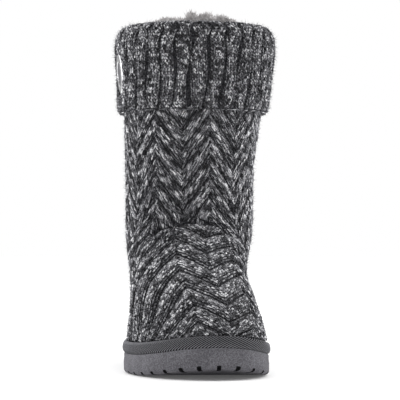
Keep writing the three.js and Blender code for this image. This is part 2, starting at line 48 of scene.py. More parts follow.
INSTEP_HEIGHT, COLLAR_HEIGHT, SHAFT_WIDTH, SHAFT_DEPTH, UPPER_WALL = 117, 262, 105, 124, 4
BALL_THICKNESS, HEEL_THICKNESS, TOE_SPRING, ARCH_RISE = 15, 22, 7.6, 2.5
SPRING_START, SPRING_POWER, ARCH_START, ARCH_END = 0.66, 3.2, 0.29, 0.56
HEEL_FLAT, BALL_FLAT, SWING_START = 0.12, 0.58, 0.55
BAND_HEIGHT, BAND_THICKNESS, GAP = 8.4, 4.3, 0.3
SHAFT_POWER, WAIST_MIDDLE, WAIST_SPAN = 2.1, 0.42, 0.3

# band, front rise, back rise, follow, toe, widest, heel, outer, inner, waist, toe power, heel power
FOOT_SECTIONS = np.array([
    [0, 0.000, 0.000, 1.00, 1.000, 0.583, 1.000, 0.540, 0.460, 0.110, 2.30, 2.60],
    [1, 0.000, 0.000, 1.00, 1.010, 0.583, 1.024, 0.542, 0.462, 0.110, 2.35, 2.60],
    [1, 0.105, 0.085, 1.00, 1.002, 0.569, 1.040, 0.532, 0.448, 0.100, 2.30, 2.55],
    [1, 0.196, 0.165, 1.00, 0.970, 0.540, 1.048, 0.520, 0.432, 0.085, 2.20, 2.50],
    [1, 0.307, 0.253, 0.90, 0.905, 0.490, 1.040, 0.512, 0.418, 0.070, 2.10, 2.45],
    [1, 0.417, 0.358, 0.75, 0.798, 0.422, 1.016, 0.508, 0.412, 0.050, 2.05, 2.40],
    [1, 0.515, 0.463, 0.60, 0.681, 0.343, 0.984, 0.508, 0.414, 0.035, 2.00, 2.30],
    [1, 0.614, 0.576, 0.45, 0.563, 0.255, 0.952, 0.510, 0.428, 0.020, 2.00, 2.20],
    [1, 0.727, 0.698, 0.30, 0.455, 0.157, 0.927, 0.515, 0.456, 0.010, 2.00, 2.10],
    [1, 0.857, 0.840, 0.15, 0.363, 0.069, 0.911, 0.520, 0.483, 0.000, 2.00, 2.10],
])
# rise, front, widest, back, outer, inner
SHAFT_SECTIONS = np.array([
    [0.00, 1.010, 0.11, 0.903, 0.962, 0.918],
    [0.09, 0.965, 0.07, 0.905, 0.960, 0.925],
    [0.30, 0.950, 0.02, 0.920, 0.970, 0.945],
    [0.57, 0.968, 0.00, 0.952, 0.982, 1.050],
    [0.81, 0.990, 0.00, 0.984, 0.958, 1.080],
    [1.00, 1.000, 0.00, 1.000, 0.938, 1.085],
])


def last_loops():
    """The section tables as lengths: follow, front and back height, front, widest, back, outer, inner,
    waist, skew and the two powers, one row a loop."""
    band, up_front, up_back, follow, toe, widest, heel, outer, inner, waist, toe_p, heel_p = FOOT_SECTIONS.T
    climb = INSTEP_HEIGHT - BAND_HEIGHT
    base = GAP + (BAND_HEIGHT - GAP) * band
    foot = np.stack([
        follow, base + up_front * climb, base + up_back * climb, -toe * TOE_REACH, -widest * TOE_REACH,
        heel * HEEL_REACH, outer * BALL_WIDTH, inner * BALL_WIDTH, waist * BALL_WIDTH, BALL_SKEW * follow,
        toe_p, heel_p], axis=1)
    rise, front, widest, back, outer, inner = SHAFT_SECTIONS.T
    height = INSTEP_HEIGHT + (COLLAR_HEIGHT - INSTEP_HEIGHT) * rise
    none = 0 * rise
    shaft = np.stack([
        none, height, height, -front * SHAFT_DEPTH / 2, -widest * SHAFT_DEPTH / 2, back * SHAFT_DEPTH / 2,
        outer * SHAFT_WIDTH / 2, inner * SHAFT_WIDTH / 2, none, none,
        none + SHAFT_POWER, none + SHAFT_POWER], axis=1)
    return np.concatenate([foot, shaft])


LOOPS = last_loops()
COLLAR = len(LOOPS) - 1
SHAFT_START = len(FOOT_SECTIONS)


def between_rows(table, t):
    """Catmull-Rom between the four rows round t, for all the table's columns at once."""
    last = len(table) - 1
    i = np.clip(np.floor(t).astype(int), 0, last - 1)
    f = (t - i)[..., None]
    a, b, c, d = (table[np.clip(i + k, 0, last)] for k in (-1, 0, 1, 2))
    value = b + 0.5 * f * (c - a + f * (2 * a - 5 * b + 4 * c - d + f * (3 * (b - c) + d - a)))
    return np.moveaxis(value, -1, 0)


def hump(x, start, end):
    """A squared half sine between start and end, 0 outside."""
    return np.sin(np.pi * np.clip((x - start) / (end - start), 0, 1)) ** 2


def ease(x):
    """3x2 - 2x3 between 0 and 1, level outside."""
    x = np.clip(x, 0, 1)
    return x * x * (3 - 2 * x)


def along_foot(y):
    """Share of the upper's length, from the back of the heel."""
    return (HEEL_REACH - y) / UPPER_LENGTH


def toe_lift(y):
    """The toe spring: a power curve from the ball to the tip of the toe."""
    return TOE_SPRING * np.maximum(0, (along_foot(y) - SPRING_START) / (1 - SPRING_START)) ** SPRING_POWER


def sole_bottom(y):
    """The toe spring, and a hump under the arch."""
    return toe_lift(y) + ARCH_RISE * hump(along_foot(y), ARCH_START, ARCH_END)


def sole_top(y):
    """The heel's thickness eased to the ball's between their two flats, over the toe spring."""
    forward = ease((along_foot(y) - HEEL_FLAT) / (BALL_FLAT - HEEL_FLAT))
    return toe_lift(y) + HEEL_THICKNESS + (BALL_THICKNESS - HEEL_THICKNESS) * forward


def on_last(angle, t):
    """A superellipse with its own power at toe and heel, skewed across the ball, drawn in at the waist and
    swung to the inner side at the toe. angle: heel 0, outer side a quarter, toe a half, inner three
    quarters of a turn."""
    lengths = between_rows(LOOPS, t)
    follow, z_front, z_back, front, widest, back, outer, inner, waist, skew, toe_p, heel_p = lengths
    s, c = np.sin(angle), np.cos(angle)
    power = np.where(c < 0, toe_p, heel_p)
    widest = widest + skew * s
    end = np.where(c < 0, front, back)
    y = widest + (end - widest) * np.abs(c) ** (2 / power)
    side = np.abs(s) ** (2 / power)
    waist = waist * hump(along_foot(y), WAIST_MIDDLE - WAIST_SPAN, WAIST_MIDDLE + WAIST_SPAN)
    across = np.where(s > 0, -side * (outer - 0.5 * waist), side * (inner - waist))
    swing = TOE_SWING * np.maximum(0, (along_foot(y) - SWING_START) / (1 - SWING_START)) ** 2
    climb = (y - front) / (back - front)
    z = follow * sole_top(y) + z_front + (z_back - z_front) * climb
    return np.stack([across + swing, y, z], axis=-1)


def unit(v):
    """Vectors over their own lengths."""
    return v / np.maximum(np.linalg.norm(v, axis=-1, keepdims=True), 1e-9)


STEP = 0.004


def last_normal(angle, t):
    """Outward normal: the cross product of a small step round and a small step up."""
    around = on_last(angle + STEP, t) - on_last(angle - STEP, t)
    up = on_last(angle, np.minimum(t + STEP, COLLAR)) - on_last(angle, np.maximum(t - STEP, 0))
    return unit(np.cross(around, up))


def beside_last(angle, t, out):
    """The last moved out by a distance along the level part of its normal."""
    level = last_normal(angle, t)
    level[..., 2] = 0
    return on_last(angle, t) + unit(level) * np.asarray(out)[..., None]


SHAFT_T = np.linspace(SHAFT_START, COLLAR, 200)
SHAFT_Z = between_rows(LOOPS, SHAFT_T)[1]


def beside_shaft(angle, height, out):
    """A point out from the shaft at a height over the ground. Over the collar the shaft goes straight on
    up."""
    angle, height, out = np.broadcast_arrays(angle, height, out)
    point = beside_last(angle, np.interp(height, SHAFT_Z, SHAFT_T), out)
    point[..., 2] = height
    return point


def piece(name, points, faces, materials, slot, nodes=(), uv=None, shade=None, paint=None, crease=None):
    """A mesh object in metres from points in millimetres, riding on the boot. uv has a pair for each corner
    of each face, shade a number for each point and paint the number of each face's material."""
    mesh = bpy.data.meshes.new(name)
    faces = [np.asarray(f) for f in faces if len(f)]
    sizes = np.concatenate([np.full(len(f), f.shape[1]) for f in faces])
    corners = np.concatenate([f.ravel() for f in faces])
    mesh.vertices.add(len(points))
    mesh.vertices.foreach_set("co", (np.asarray(points) * MM).astype(np.float32).ravel())
    mesh.loops.add(len(corners))
    mesh.loops.foreach_set("vertex_index", corners.astype(np.int32))
    mesh.polygons.add(len(sizes))
    mesh.polygons.foreach_set("loop_start", (np.cumsum(sizes) - sizes).astype(np.int32))
    mesh.polygons.foreach_set("loop_total", sizes.astype(np.int32))
    if paint is not None:
        mesh.polygons.foreach_set("material_index", paint.astype(np.int32))
    if uv is not None:
        layer = mesh.uv_layers.new(name="yarn")
        layer.data.foreach_set("uv", uv.astype(np.float32).ravel())
    if shade is not None:
        layer = mesh.attributes.new("shade", "FLOAT", "POINT")
        layer.data.foreach_set("value", shade.astype(np.float32))
    mesh.update(calc_edges=True)
    mesh.shade_smooth()
    if crease:
        mesh.set_sharp_from_angle(angle=math.radians(crease))
    for material in materials:
        mesh.materials.append(material)
    thing = bpy.data.objects.new(name, mesh)
    bpy.context.scene.collection.objects.link(thing)
    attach(thing, "root")
    if nodes:
        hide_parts(*nodes)
    return thing


def tube_faces(rows, columns, closed):
    """Quads between rows of closed loops. The last row joins the first one where closed is true."""
    r = np.arange(rows if closed else rows - 1)[:, None]
    i = np.arange(columns)[None, :]
    here, above = r * columns, ((r + 1) % rows) * columns
    j = (i + 1) % columns
    return np.stack([here + i, here + j, above + j, above + i], axis=-1).reshape(-1, 4)


def srgb(code):
    """A hex colour as linear RGBA."""
    value = np.array([int(code[k:k + 2], 16) for k in (1, 3, 5)]) / 255
    linear = np.where(value <= 0.04045, value / 12.92, ((value + 0.055) / 1.055) ** 2.4)
    return (*linear.tolist(), 1.0)


def add(tree, kind, inputs=None, stops=(), **settings):
    """Adds a node, with its settings, its inputs as constants or links, and a ramp's stops as pairs of place
    and colour."""
    node = tree.nodes.new(kind)
    for key, value in settings.items():
        setattr(node, key, value)
    if stops:
        first, last = node.color_ramp.elements
        first.position, first.color = stops[0]
        last.position, last.color = stops[-1]
    for position, colour in stops[1:-1]:
        node.color_ramp.elements.new(position).color = colour
    for key, value in (inputs or {}).items():
        if isinstance(value, bpy.types.NodeSocket):
            tree.links.new(value, node.inputs[key])
        else:
            node.inputs[key].default_value = value
    return node


def blank(name):
    """A new material: gives it, its emptied node tree, and the boot's own coordinates in metres."""
    material = bpy.data.materials.new(name)
    material.use_nodes = True
    tree = material.node_tree
    tree.nodes.clear()
    return material, tree, add(tree, "ShaderNodeTexCoord").outputs["Object"]


# The cloth's tables reach this far to either side of its middle line.
CLOTH_REACH = 190


class Panel:
    """A cut piece of knit laid on the last. v runs up its centre line, u across it along the level line, both
    in millimetres of cloth. It holds tables from (angle, v) to u and from (u, v) back to (angle, section)."""

    def __init__(self, level_of, levels, angles, across):
        self.level_of, self.levels, self.angles = level_of, levels, angles
        sections = np.linspace(0, COLLAR, 401)
        reached = level_of(on_last(angles[None, :], sections[:, None]))
        columns = [np.interp(levels, np.maximum.accumulate(c), sections) for c in reached.T]
        section = np.stack(columns, axis=1)
        points = on_last(angles[None, :], section)
        steps = np.linalg.norm(np.diff(points, axis=1), axis=2)
        arc = np.concatenate([np.zeros((len(levels), 1)), np.cumsum(steps, axis=1)], axis=1)
        self.u = across(arc, levels, angles)
        self.across = np.linspace(-CLOTH_REACH, CLOTH_REACH, 761)
        rows = []
        for u, t in zip(self.u, section):
            outer = angles <= math.pi
            side = [np.interp(self.across, u[half], angles[half]) for half in (outer, ~outer)]
            angle = np.where(self.across < 0, *side)
            rows.append([angle, np.interp(angle, angles, t)])
        self.back = np.moveaxis(np.array(rows), 1, 0)

    def look_up(self, table, x, columns, v):
        """Bilinear reading of a table with a row a level and a column a value of columns."""
        r = np.clip(np.interp(v, self.levels, np.arange(len(self.levels))), 0, len(self.levels) - 1.001)
        c = np.clip(np.interp(x, columns, np.arange(len(columns))), 0, len(columns) - 1.001)
        r0, c0 = r.astype(int), c.astype(int)
        fr, fc = r - r0, c - c0
        low = table[r0, c0] * (1 - fc) + table[r0, c0 + 1] * fc
        high = table[r0 + 1, c0] * (1 - fc) + table[r0 + 1, c0 + 1] * fc
        return low * (1 - fr) + high * fr

    def cloth(self, angle, point):
        """u and v of points of the last."""
        v = self.level_of(point)
        return self.look_up(self.u, angle, self.angles, v), v

    def place(self, u, v):
        """Angle and section of points of the cloth."""
        return tuple(self.look_up(table, u, self.across, v) for table in self.back)


# The shaft and the quarters are one panel: its level lines are level, and its middle is the front. Its
# chevrons go eight times round.
CHEVRON_HALF, CHEVRON_RISE, BAND_PITCH = 21.6, 28.0, 16.2
SHAFT_HALF = 8 * CHEVRON_HALF
SHAFT_VALLEY, SHAFT_BASE = -9.0, 138.0
# u and rise of the points where the bands bend
SHAFT_BENDS = np.array([(SHAFT_VALLEY + CHEVRON_HALF * k, CHEVRON_RISE * (k % 2)) for k in range(-9, 11)])


def shaft_across(arc, levels, angles):
    """u from the heel, so that the two sides close at the back. Over the bend the cloth closes in front
    too."""
    front = np.argmin(np.abs(angles - math.pi))
    full = np.searchsorted(levels, INSTEP_HEIGHT)
    outer, inner = arc[:, front], arc[:, -1] - arc[:, front]
    outer = np.where(levels < INSTEP_HEIGHT, outer[full], outer)[:, None]
    inner = np.where(levels < INSTEP_HEIGHT, inner[full], inner)[:, None]
    from_outer = -SHAFT_HALF + arc * SHAFT_HALF / outer
    from_inner = SHAFT_HALF - (arc[:, -1:] - arc) * SHAFT_HALF / inner
    return np.where(angles <= math.pi, from_outer, from_inner)


# The vamp is a panel of its own, sewn on at the instep and down the sides. Its level lines lie in planes that
# fan out from a line across the boot under the heel's front, so that the cloth runs over the instep and down
# the toe.
FAN_Y, FAN_Z = -40, -45
VAMP_BASE, VAMP_PITCH, VAMP_RISE, VAMP_FALL = 6.6, 11.83, 12.5, 0.6
VAMP_REACH = 150
# u of the two peaks and the valley over the instep, and a long fall at either side
OUTER_PEAK, VAMP_VALLEY, INNER_PEAK = -15, 8, 30
VAMP_BENDS = np.array([
    (-VAMP_REACH, VAMP_RISE - VAMP_FALL * (VAMP_REACH + OUTER_PEAK)), (OUTER_PEAK, VAMP_RISE),
    (VAMP_VALLEY, 0), (INNER_PEAK, VAMP_RISE),
    (VAMP_REACH, VAMP_RISE - VAMP_FALL * (VAMP_REACH - INNER_PEAK)),
])
INSTEP_ARC = np.linspace(0, 10, 300)


def fan_angle(point):
    """Angle of the plane of the fan in which a point lies."""
    return np.arctan2(point[..., 2] - FAN_Z, FAN_Y - point[..., 1])


def vamp_level(point):
    """The height at which the middle line of toe and instep crosses the plane that the point lies in. The
    cloth is stretched over the instep, so the bands are as high there as at the toe."""
    line = on_last(math.pi + 0 * INSTEP_ARC, INSTEP_ARC)
    turned, height = fan_angle(line), line[:, 2]
    rate = (height[-1] - height[20]) / (turned[-1] - turned[20])
    turned = np.concatenate([[turned[0] - 1.0], turned, [turned[-1] + 1.0]])
    height = np.concatenate([[height[0] - rate], height, [height[-1] + rate]])
    return np.interp(fan_angle(point), turned, height)


def vamp_across(arc, levels, angles):
    """u from the middle line of toe and instep."""
    return arc - arc[:, np.argmin(np.abs(angles - math.pi))][:, None]


shaft_panel = Panel(lambda p: p[..., 2], np.linspace(10, COLLAR_HEIGHT, 253), np.linspace(0, TURN, 721),
                    shaft_across)
vamp_panel = Panel(vamp_level, np.linspace(-40, 160, 201), np.linspace(0.7, TURN - 0.7, 601), vamp_across)

# The seam of the two panels runs from the bend of the instep down each side to the sole.
SEAM_FRONT, SEAM_FALL, SEAM_TOP = -40, 25, 112


def ahead_of_seam(point):
    """How far a point lies before the seam, and under its top."""
    height = point[..., 2]
    before = SEAM_FRONT - SEAM_FALL * (height / SEAM_TOP) ** 2 - point[..., 1]
    return np.minimum(before, SEAM_TOP - height + 0.25 * before)


def band_number(u, v, bends, base, pitch):
    """A point's band and the share of it: v less the rise of the bent line at u."""
    return (v - base - np.interp(u, *bends.T)) / pitch


# Bands of eight strands stand out as rolls, with a furrow between two bands.
SHAFT_CHART = (SHAFT_BENDS, SHAFT_BASE, BAND_PITCH)
VAMP_CHART = (VAMP_BENDS, VAMP_BASE, VAMP_PITCH)
BAND_RELIEF, BAND_SUNK, SEAM_DEPTH, SEAM_WIDTH = 3.8, 2.5, 2.6, 3.0
# The cloth lies flat behind the cuff, from this height up, and behind the binding tape, under this section.
BEHIND_CUFF, BEHIND_TAPE = 204, 1.2


def band_height(share):
    """A roll between two furrows: a power of a half sine."""
    return BAND_RELIEF * np.sin(np.pi * (share % 1)) ** 0.7 - BAND_SUNK


def seam_dip(ahead):
    """Depth of the crease that the seam draws in: a bell curve."""
    return SEAM_DEPTH * np.exp(-(ahead / SEAM_WIDTH) ** 2)


def knit_height(angle, t, point):
    """Height of the cloth over the last: the rolls of the panel that holds the point, less the seam's dip."""
    ahead = ahead_of_seam(point)
    shaft = band_height(band_number(*shaft_panel.cloth(angle, point), *SHAFT_CHART))
    vamp = band_height(band_number(*vamp_panel.cloth(angle, point), *VAMP_CHART))
    height = np.where(ahead > 0, vamp, shaft) - seam_dip(ahead)
    hidden = ease((point[..., 2] - BEHIND_CUFF) / 6) + ease((BEHIND_TAPE - t) / 0.5)
    return height * (1 - np.clip(hidden, 0, 1))


UPPER_COLUMNS, UPPER_ROWS, LINING_ROWS = 288, 165, 20


def make_upper():
    """Loops up the outside, over the collar and down the inside, as one closed ring."""
    angle = TURN * np.arange(UPPER_COLUMNS) / UPPER_COLUMNS
    rows = np.linspace(0, COLLAR, UPPER_ROWS)
    a, t = np.meshgrid(angle, rows)
    outside = on_last(a, t)
    outside = outside + last_normal(a, t) * knit_height(a, t, outside)[..., None]
    lining = np.linspace(COLLAR, 1, LINING_ROWS)
    a, t = np.meshgrid(angle, lining)
    inside = on_last(a, t) - last_normal(a, t) * UPPER_WALL
    inside[0] = beside_last(angle, COLLAR + 0 * angle, -UPPER_WALL)
    foot = beside_last(angle, 0 * angle, -UPPER_WALL)
    foot[:, 2] = sole_top(foot[:, 1]) + GAP
    rings = np.concatenate([outside, inside, foot[None]])
    paint = np.zeros(len(rings), int)
    paint[UPPER_ROWS - 1:-1] = 1
    return rings, np.repeat(paint, UPPER_COLUMNS)


def knit_ground():
    """The cloth backing that shows between the stitches, painted dark as the shade between them: wool, matt,
    with a speckle of paler fibres about 1 mm apart. Object coordinates are metres, so a noise's scale is its
    number of specks a metre."""
    material, tree, place = blank("marl wool ground")
    speck = add(tree, "ShaderNodeTexNoise", {"Vector": place, "Scale": 900.0, "Detail": 2.0}).outputs[0]
    # Dark tones: the backing painted as the shade between the stitches
    tone = add(tree, "ShaderNodeValToRGB", {"Fac": speck}, [(0.42, srgb("#161618")), (0.68, srgb("#4A4A4E"))])
    bump = add(tree, "ShaderNodeBump", {"Height": speck, "Strength": 0.6, "Distance": 0.0006})
    wool = add(tree, "ShaderNodeBsdfPrincipled", {
        "Base Color": tone.outputs[0], "Roughness": 0.95, "Specular IOR Level": 0.1,
        "Normal": bump.outputs[0]})
    add(tree, "ShaderNodeOutputMaterial", {"Surface": wool.outputs[0]})
    return material


def plush(name, shadow, tip):
    """Brushed synthetic fleece: soft grey, clumped into curls about 5 mm across, with a pale sheen."""
    material, tree, place = blank(name)
    curl = add(tree, "ShaderNodeTexNoise", {"Vector": place, "Scale": 200.0, "Detail": 5.0}).outputs[0]
    tone = add(tree, "ShaderNodeValToRGB", {"Fac": curl}, [(0.35, srgb(shadow)), (0.65, srgb(tip))])
    bump = add(tree, "ShaderNodeBump", {"Height": curl, "Strength": 0.8, "Distance": 0.002})
    fibre = add(tree, "ShaderNodeBsdfPrincipled", {
        "Base Color": tone.outputs[0], "Roughness": 0.95, "Sheen Weight": 0.3, "Normal": bump.outputs[0]})
    add(tree, "ShaderNodeOutputMaterial", {"Surface": fibre.outputs[0]})
    return material


ground = knit_ground()
lining = plush("brushed lining", "#8A8685", "#C9C5C3")
upper_rings, upper_paint = make_upper()
piece("knit_upper", upper_rings.reshape(-1, 3), [tube_faces(len(upper_rings), UPPER_COLUMNS, True)],
      [ground, lining], "knit", ["upper"], paint=upper_paint)


# The stitches of the upper.
# Strands of three-ply marl wool: black, grey and white plies twisted together. Each stitch shows as a slender
# leaf of yarn along its strand, and the strands change direction at the bends of the bands.
STRANDS = np.linspace(0.11, 0.89, 8)
STITCH_LAP, LONGEST_STITCH, YARN_HEIGHT, STITCH_BOW = 1.3, 6.0, 1.2, 0.35
THINNEST_STITCH, THICKEST_STITCH = 1.0, 2.0
STITCH_TURN = math.radians(5)
# How far a stitch strays: in its turn (radians), in height and to the side
TURN_STRAY, HEIGHT_STRAY, SIDE_STRAY = 0.06, 0.14, 0.12
PLY_TURN = 15.0
LEAF_SIDES, LEAF_STATIONS = 4, (-0.5, 0.5)
# A leaf's points: its tail, its rings and its tip
LEAF_POINTS = 2 + LEAF_SIDES * len(LEAF_STATIONS)


def yarn_leaves(centre, along, normal, length, width, height, bow, sides, stations):
    """Closed leaves of yarn: rings round an axis that bows outwards, with a point at each end. stations are
    the rings' places from -1 to 1, and a ring's radius is the root of 1 less the fourth power of its place.
    Returns points, faces, a uv pair a corner (millimetres along the yarn, and turns round it) and the
    number of points in a leaf."""
    count, rings = len(centre), len(stations)
    side = np.cross(normal, along)
    place = np.array([-1, *stations, 1])
    turn = np.arange(sides) / sides
    round_ = TURN * (turn - 0.25)
    radius = (1 - place ** 4) ** 0.5
    ring = place[1:-1, None] + 0 * turn[None]
    across = radius[1:-1, None] * np.cos(round_)
    up = radius[1:-1, None] * np.sin(round_)
    local = np.concatenate([[[-1, 0, 0]], np.stack([ring, across, up], -1).reshape(-1, 3), [[1, 0, 0]]])
    lift = bow * (1 - local[:, 0] ** 2)
    shape = (local[None, :, :1] * (along * length[:, None] / 2)[:, None]
             + local[None, :, 1:2] * (side * np.reshape(width, (-1, 1)) / 2)[:, None]
             + (local[None, :, 2:] * height / 2 + lift[None, :, None]) * normal[:, None])
    points = centre[:, None] + shape
    k, m = np.meshgrid(np.arange(rings - 1), np.arange(sides), indexing="ij")
    k, m, n = k.ravel(), m.ravel(), ((m + 1) % sides).ravel()
    low, high = 1 + k * sides, 1 + (k + 1) * sides
    quads = np.stack([low + m, low + n, high + n, high + m], 1)
    m = np.arange(sides)
    n = (m + 1) % sides
    last = 1 + rings * sides
    tail = np.stack([0 * m, 1 + n, 1 + m], 1)
    tip = np.stack([1 + (rings - 1) * sides + m, 1 + (rings - 1) * sides + n, 0 * m + last], 1)
    tris = np.concatenate([tail, tip])
    share = np.concatenate([[0.5], np.tile(turn, rings), [0.5]])
    first = (np.arange(count) * (last + 1))[:, None, None]
    faces, uv = [], []
    for group in (quads, tris):
        v = share[group]
        v = np.where(v < v.max(axis=1, keepdims=True) - 0.5, v + 1, v)
        u = local[group, 0]
        pair = np.stack([u[None] * length[:, None, None] / 2, np.broadcast_to(v, (count, *v.shape))], -1)
        faces.append((group[None] + first).reshape(-1, group.shape[1]))
        uv.append(pair.reshape(-1, 2))
    return points.reshape(-1, 3), faces, np.concatenate(uv), last + 1


# Greys of the three plies at their places round the yarn
PLIES = [(0, 0.0), (0.28, 0.05), (0.36, 0.45), (0.6, 0.55), (0.68, 1.0), (0.92, 0.9), (1, 0.0)]


def marl_wool(name, ply_turn, ply_share, fleck_scale, fleck_share, colours):
    """Marl wool: the plies' colours show as slanting stripes along the yarn, one set a turn of the plies, in
    millimetres. Darker and paler lengths of the dyed yarn lie as flecks over the knit, 5 to 11 mm long. Matt,
    with fine fibres, drawn about 0.8 mm apart so that they show."""
    material, tree, place = blank(name)
    yarn = add(tree, "ShaderNodeUVMap", uv_map="yarn").outputs[0]
    uv = add(tree, "ShaderNodeSeparateXYZ", {"Vector": yarn})
    shade = add(tree, "ShaderNodeAttribute", attribute_name="shade").outputs["Fac"]
    turns = add(tree, "ShaderNodeMath", {0: uv.outputs[0], 1: 1 / ply_turn, 2: uv.outputs[1]},
                operation="MULTIPLY_ADD").outputs[0]
    start = add(tree, "ShaderNodeMath", {0: shade, 1: 7.3, 2: turns}, operation="MULTIPLY_ADD").outputs[0]
    twist = add(tree, "ShaderNodeMath", {0: start}, operation="FRACT").outputs[0]
    ply = add(tree, "ShaderNodeValToRGB", {"Fac": twist},
              [(position, (grey, grey, grey, 1.0)) for position, grey in PLIES])
    stretched = add(tree, "ShaderNodeMapping", {"Vector": place, "Scale": fleck_scale}).outputs[0]
    dye = add(tree, "ShaderNodeTexNoise", {"Vector": stretched, "Scale": 1.0, "Detail": 2.0}).outputs[0]
    drift = add(tree, "ShaderNodeMapRange",
                {0: dye, 1: 0.3, 2: 0.7, 3: -fleck_share, 4: fleck_share}).outputs[0]
    fibre = add(tree, "ShaderNodeTexNoise", {"Vector": place, "Scale": 1300.0, "Detail": 2.0}).outputs[0]
    grit = add(tree, "ShaderNodeMapRange", {0: fibre, 1: 0.35, 2: 0.65, 3: -0.24, 4: 0.24}).outputs[0]
    blotch = add(tree, "ShaderNodeMath", {0: drift, 1: grit}, operation="ADD").outputs[0]
    mixed = add(tree, "ShaderNodeMath", {0: ply.outputs[0], 1: ply_share, 2: blotch},
                operation="MULTIPLY_ADD").outputs[0]
    # The shade attribute sets most of a stitch's tone. On the stitches it also holds painted shade beside the
    # furrows
    level = add(tree, "ShaderNodeMath", {0: shade, 1: 1 - ply_share, 2: mixed},
                operation="MULTIPLY_ADD").outputs[0]
    tone = add(tree, "ShaderNodeValToRGB", {"Fac": level},
               [(i / (len(colours) - 1), srgb(colour)) for i, colour in enumerate(colours)])
    bump = add(tree, "ShaderNodeBump", {"Height": fibre, "Strength": 0.5, "Distance": 0.0003})
    wool = add(tree, "ShaderNodeBsdfPrincipled", {
        "Base Color": tone.outputs[0], "Roughness": 0.9, "Specular IOR Level": 0.1, "Sheen Weight": 0.1,
        "Normal": bump.outputs[0]})
    add(tree, "ShaderNodeOutputMaterial", {"Surface": wool.outputs[0]})
    return material


def strand_stitches(bends, base, pitch, v_span, step):
    """Both ends of the stitches of every strand, on each straight side between two bends, and their strand's
    share of the band. Each strand starts at its own place."""
    found = []
    for side, ((u0, v0), (u1, v1)) in enumerate(zip(bends[:-1], bends[1:])):
        count = round(math.hypot(u1 - u0, v1 - v0) / step)
        low = math.floor((v_span[0] - base - max(v0, v1)) / pitch)
        high = math.ceil((v_span[1] - base - min(v0, v1)) / pitch)
        band, strand, number = (x.ravel() for x in np.meshgrid(
            np.arange(low, high), np.arange(len(STRANDS)), np.arange(count), indexing="ij"))
        middle = (number + (0.62 * strand + 0.37 * band + 0.5 * side) % 1) / count
        row = [STRANDS[strand], np.where(v1 > v0, 1, -1) + 0 * middle]
        for share in (middle - STITCH_LAP / 2 / count, middle + STITCH_LAP / 2 / count):
            row += [u0 + (u1 - u0) * share, base + pitch * (band + STRANDS[strand]) + v0 + (v1 - v0) * share]
        found.append(np.array(row))
    return np.concatenate(found, axis=1)


def make_stitches(panel, chart, v_span, step, wanted, wrap=None):
    """Lays the strands' stitches on the last, drops those outside the panel, and turns each a little. A
    stitch is as wide as the room between its strand and the next."""
    roll, climb, u0, v0, u1, v1 = strand_stitches(*chart, v_span, step)
    if wrap:
        u0, u1 = ((u + wrap) % (2 * wrap) - wrap for u in (u0, u1))
    places = [panel.place(u, v) for u, v in ((u0, v0), (u1, v1), (u0, v0 + chart[2] / len(STRANDS)))]
    first, second, beside = (on_last(a, t) for a, t in places)
    middle_t = (places[0][1] + places[1][1]) / 2
    normal = unit(last_normal(*places[0]) + last_normal(*places[1]))
    centre = (first + second) / 2
    along = second - first
    length = np.linalg.norm(along, axis=-1)
    room = np.linalg.norm(np.cross(beside - first, unit(along)), axis=-1)
    reached = np.abs(panel.level_of(first) - v0) + np.abs(panel.level_of(second) - v1) < 1.5
    keep = wanted(centre, middle_t) & reached & (length > 2) & (length < 30)
    roll, climb, centre, normal, along, length, room = (
        x[keep] for x in (roll, climb, centre, normal, along, length, room))
    along = unit(along - normal * np.sum(along * normal, axis=1, keepdims=True))
    side = np.cross(normal, along)
    rng = np.random.default_rng(5)
    turn = STITCH_TURN * climb + rng.normal(0, TURN_STRAY, len(roll))
    along = along * np.cos(turn)[:, None] + side * np.sin(turn)[:, None]
    out = band_height(roll) - seam_dip(ahead_of_seam(centre)) + YARN_HEIGHT * 0.25
    out = out + rng.normal(0, HEIGHT_STRAY, len(roll))
    centre = centre + normal * out[:, None] + side * rng.normal(0, SIDE_STRAY, len(roll))[:, None]
    length = np.minimum(length, LONGEST_STITCH) * rng.uniform(0.85, 1.15, len(roll))
    width = np.clip(room * rng.uniform(0.85, 1.15, len(roll)), THINNEST_STITCH, THICKEST_STITCH)
    points, faces, uv, size = yarn_leaves(centre, along, normal, length, width, YARN_HEIGHT, STITCH_BOW,
                                          LEAF_SIDES, LEAF_STATIONS)
    # A random tone for each stitch, painted darker towards its band's edges: painted shade in the furrows
    # between the bands
    shade = rng.uniform(0, 1, len(roll)) * (0.35 + 0.65 * np.sin(np.pi * roll))
    return points, faces, uv, np.repeat(shade, size)


wool = marl_wool("marl wool", PLY_TURN, 0.4, (90.0, 90.0, 160.0), 0.14,
                 ("#121214", "#2A2A2D", "#5E5E62", "#ACACB0", "#F4F4F6"))
SHAFT_STEP, VAMP_STEP, SEAM_MARGIN = 4.2, 2.2, 0.4
points, faces, uv, shade = make_stitches(
    shaft_panel, (SHAFT_BENDS[1:-2], SHAFT_BASE, BAND_PITCH), (20, BEHIND_CUFF + 3), SHAFT_STEP,
    lambda p, t: (ahead_of_seam(p) < -SEAM_MARGIN) & (t > BEHIND_TAPE - 0.1) & (p[:, 2] < BEHIND_CUFF + 2),
    SHAFT_HALF)
shaft_stitches = piece("shaft_stitches", points, faces, [wool], "knit", uv=uv, shade=shade)
points, faces, uv, shade = make_stitches(
    vamp_panel, VAMP_CHART, (-10, 130), VAMP_STEP,
    lambda p, t: (ahead_of_seam(p) > SEAM_MARGIN) & (t > BEHIND_TAPE - 0.1))
vamp_stitches = piece("vamp_stitches", points, faces, [wool], "knit", uv=uv, shade=shade)

# Loose ends of fibre stand out of the yarn all over and blur the boot's outline.
HAIR_WIDTH, HAIR_LEAN, SHORTEST_HAIR, LONGEST_HAIR = 0.2, 0.8, 1.6, 4.8


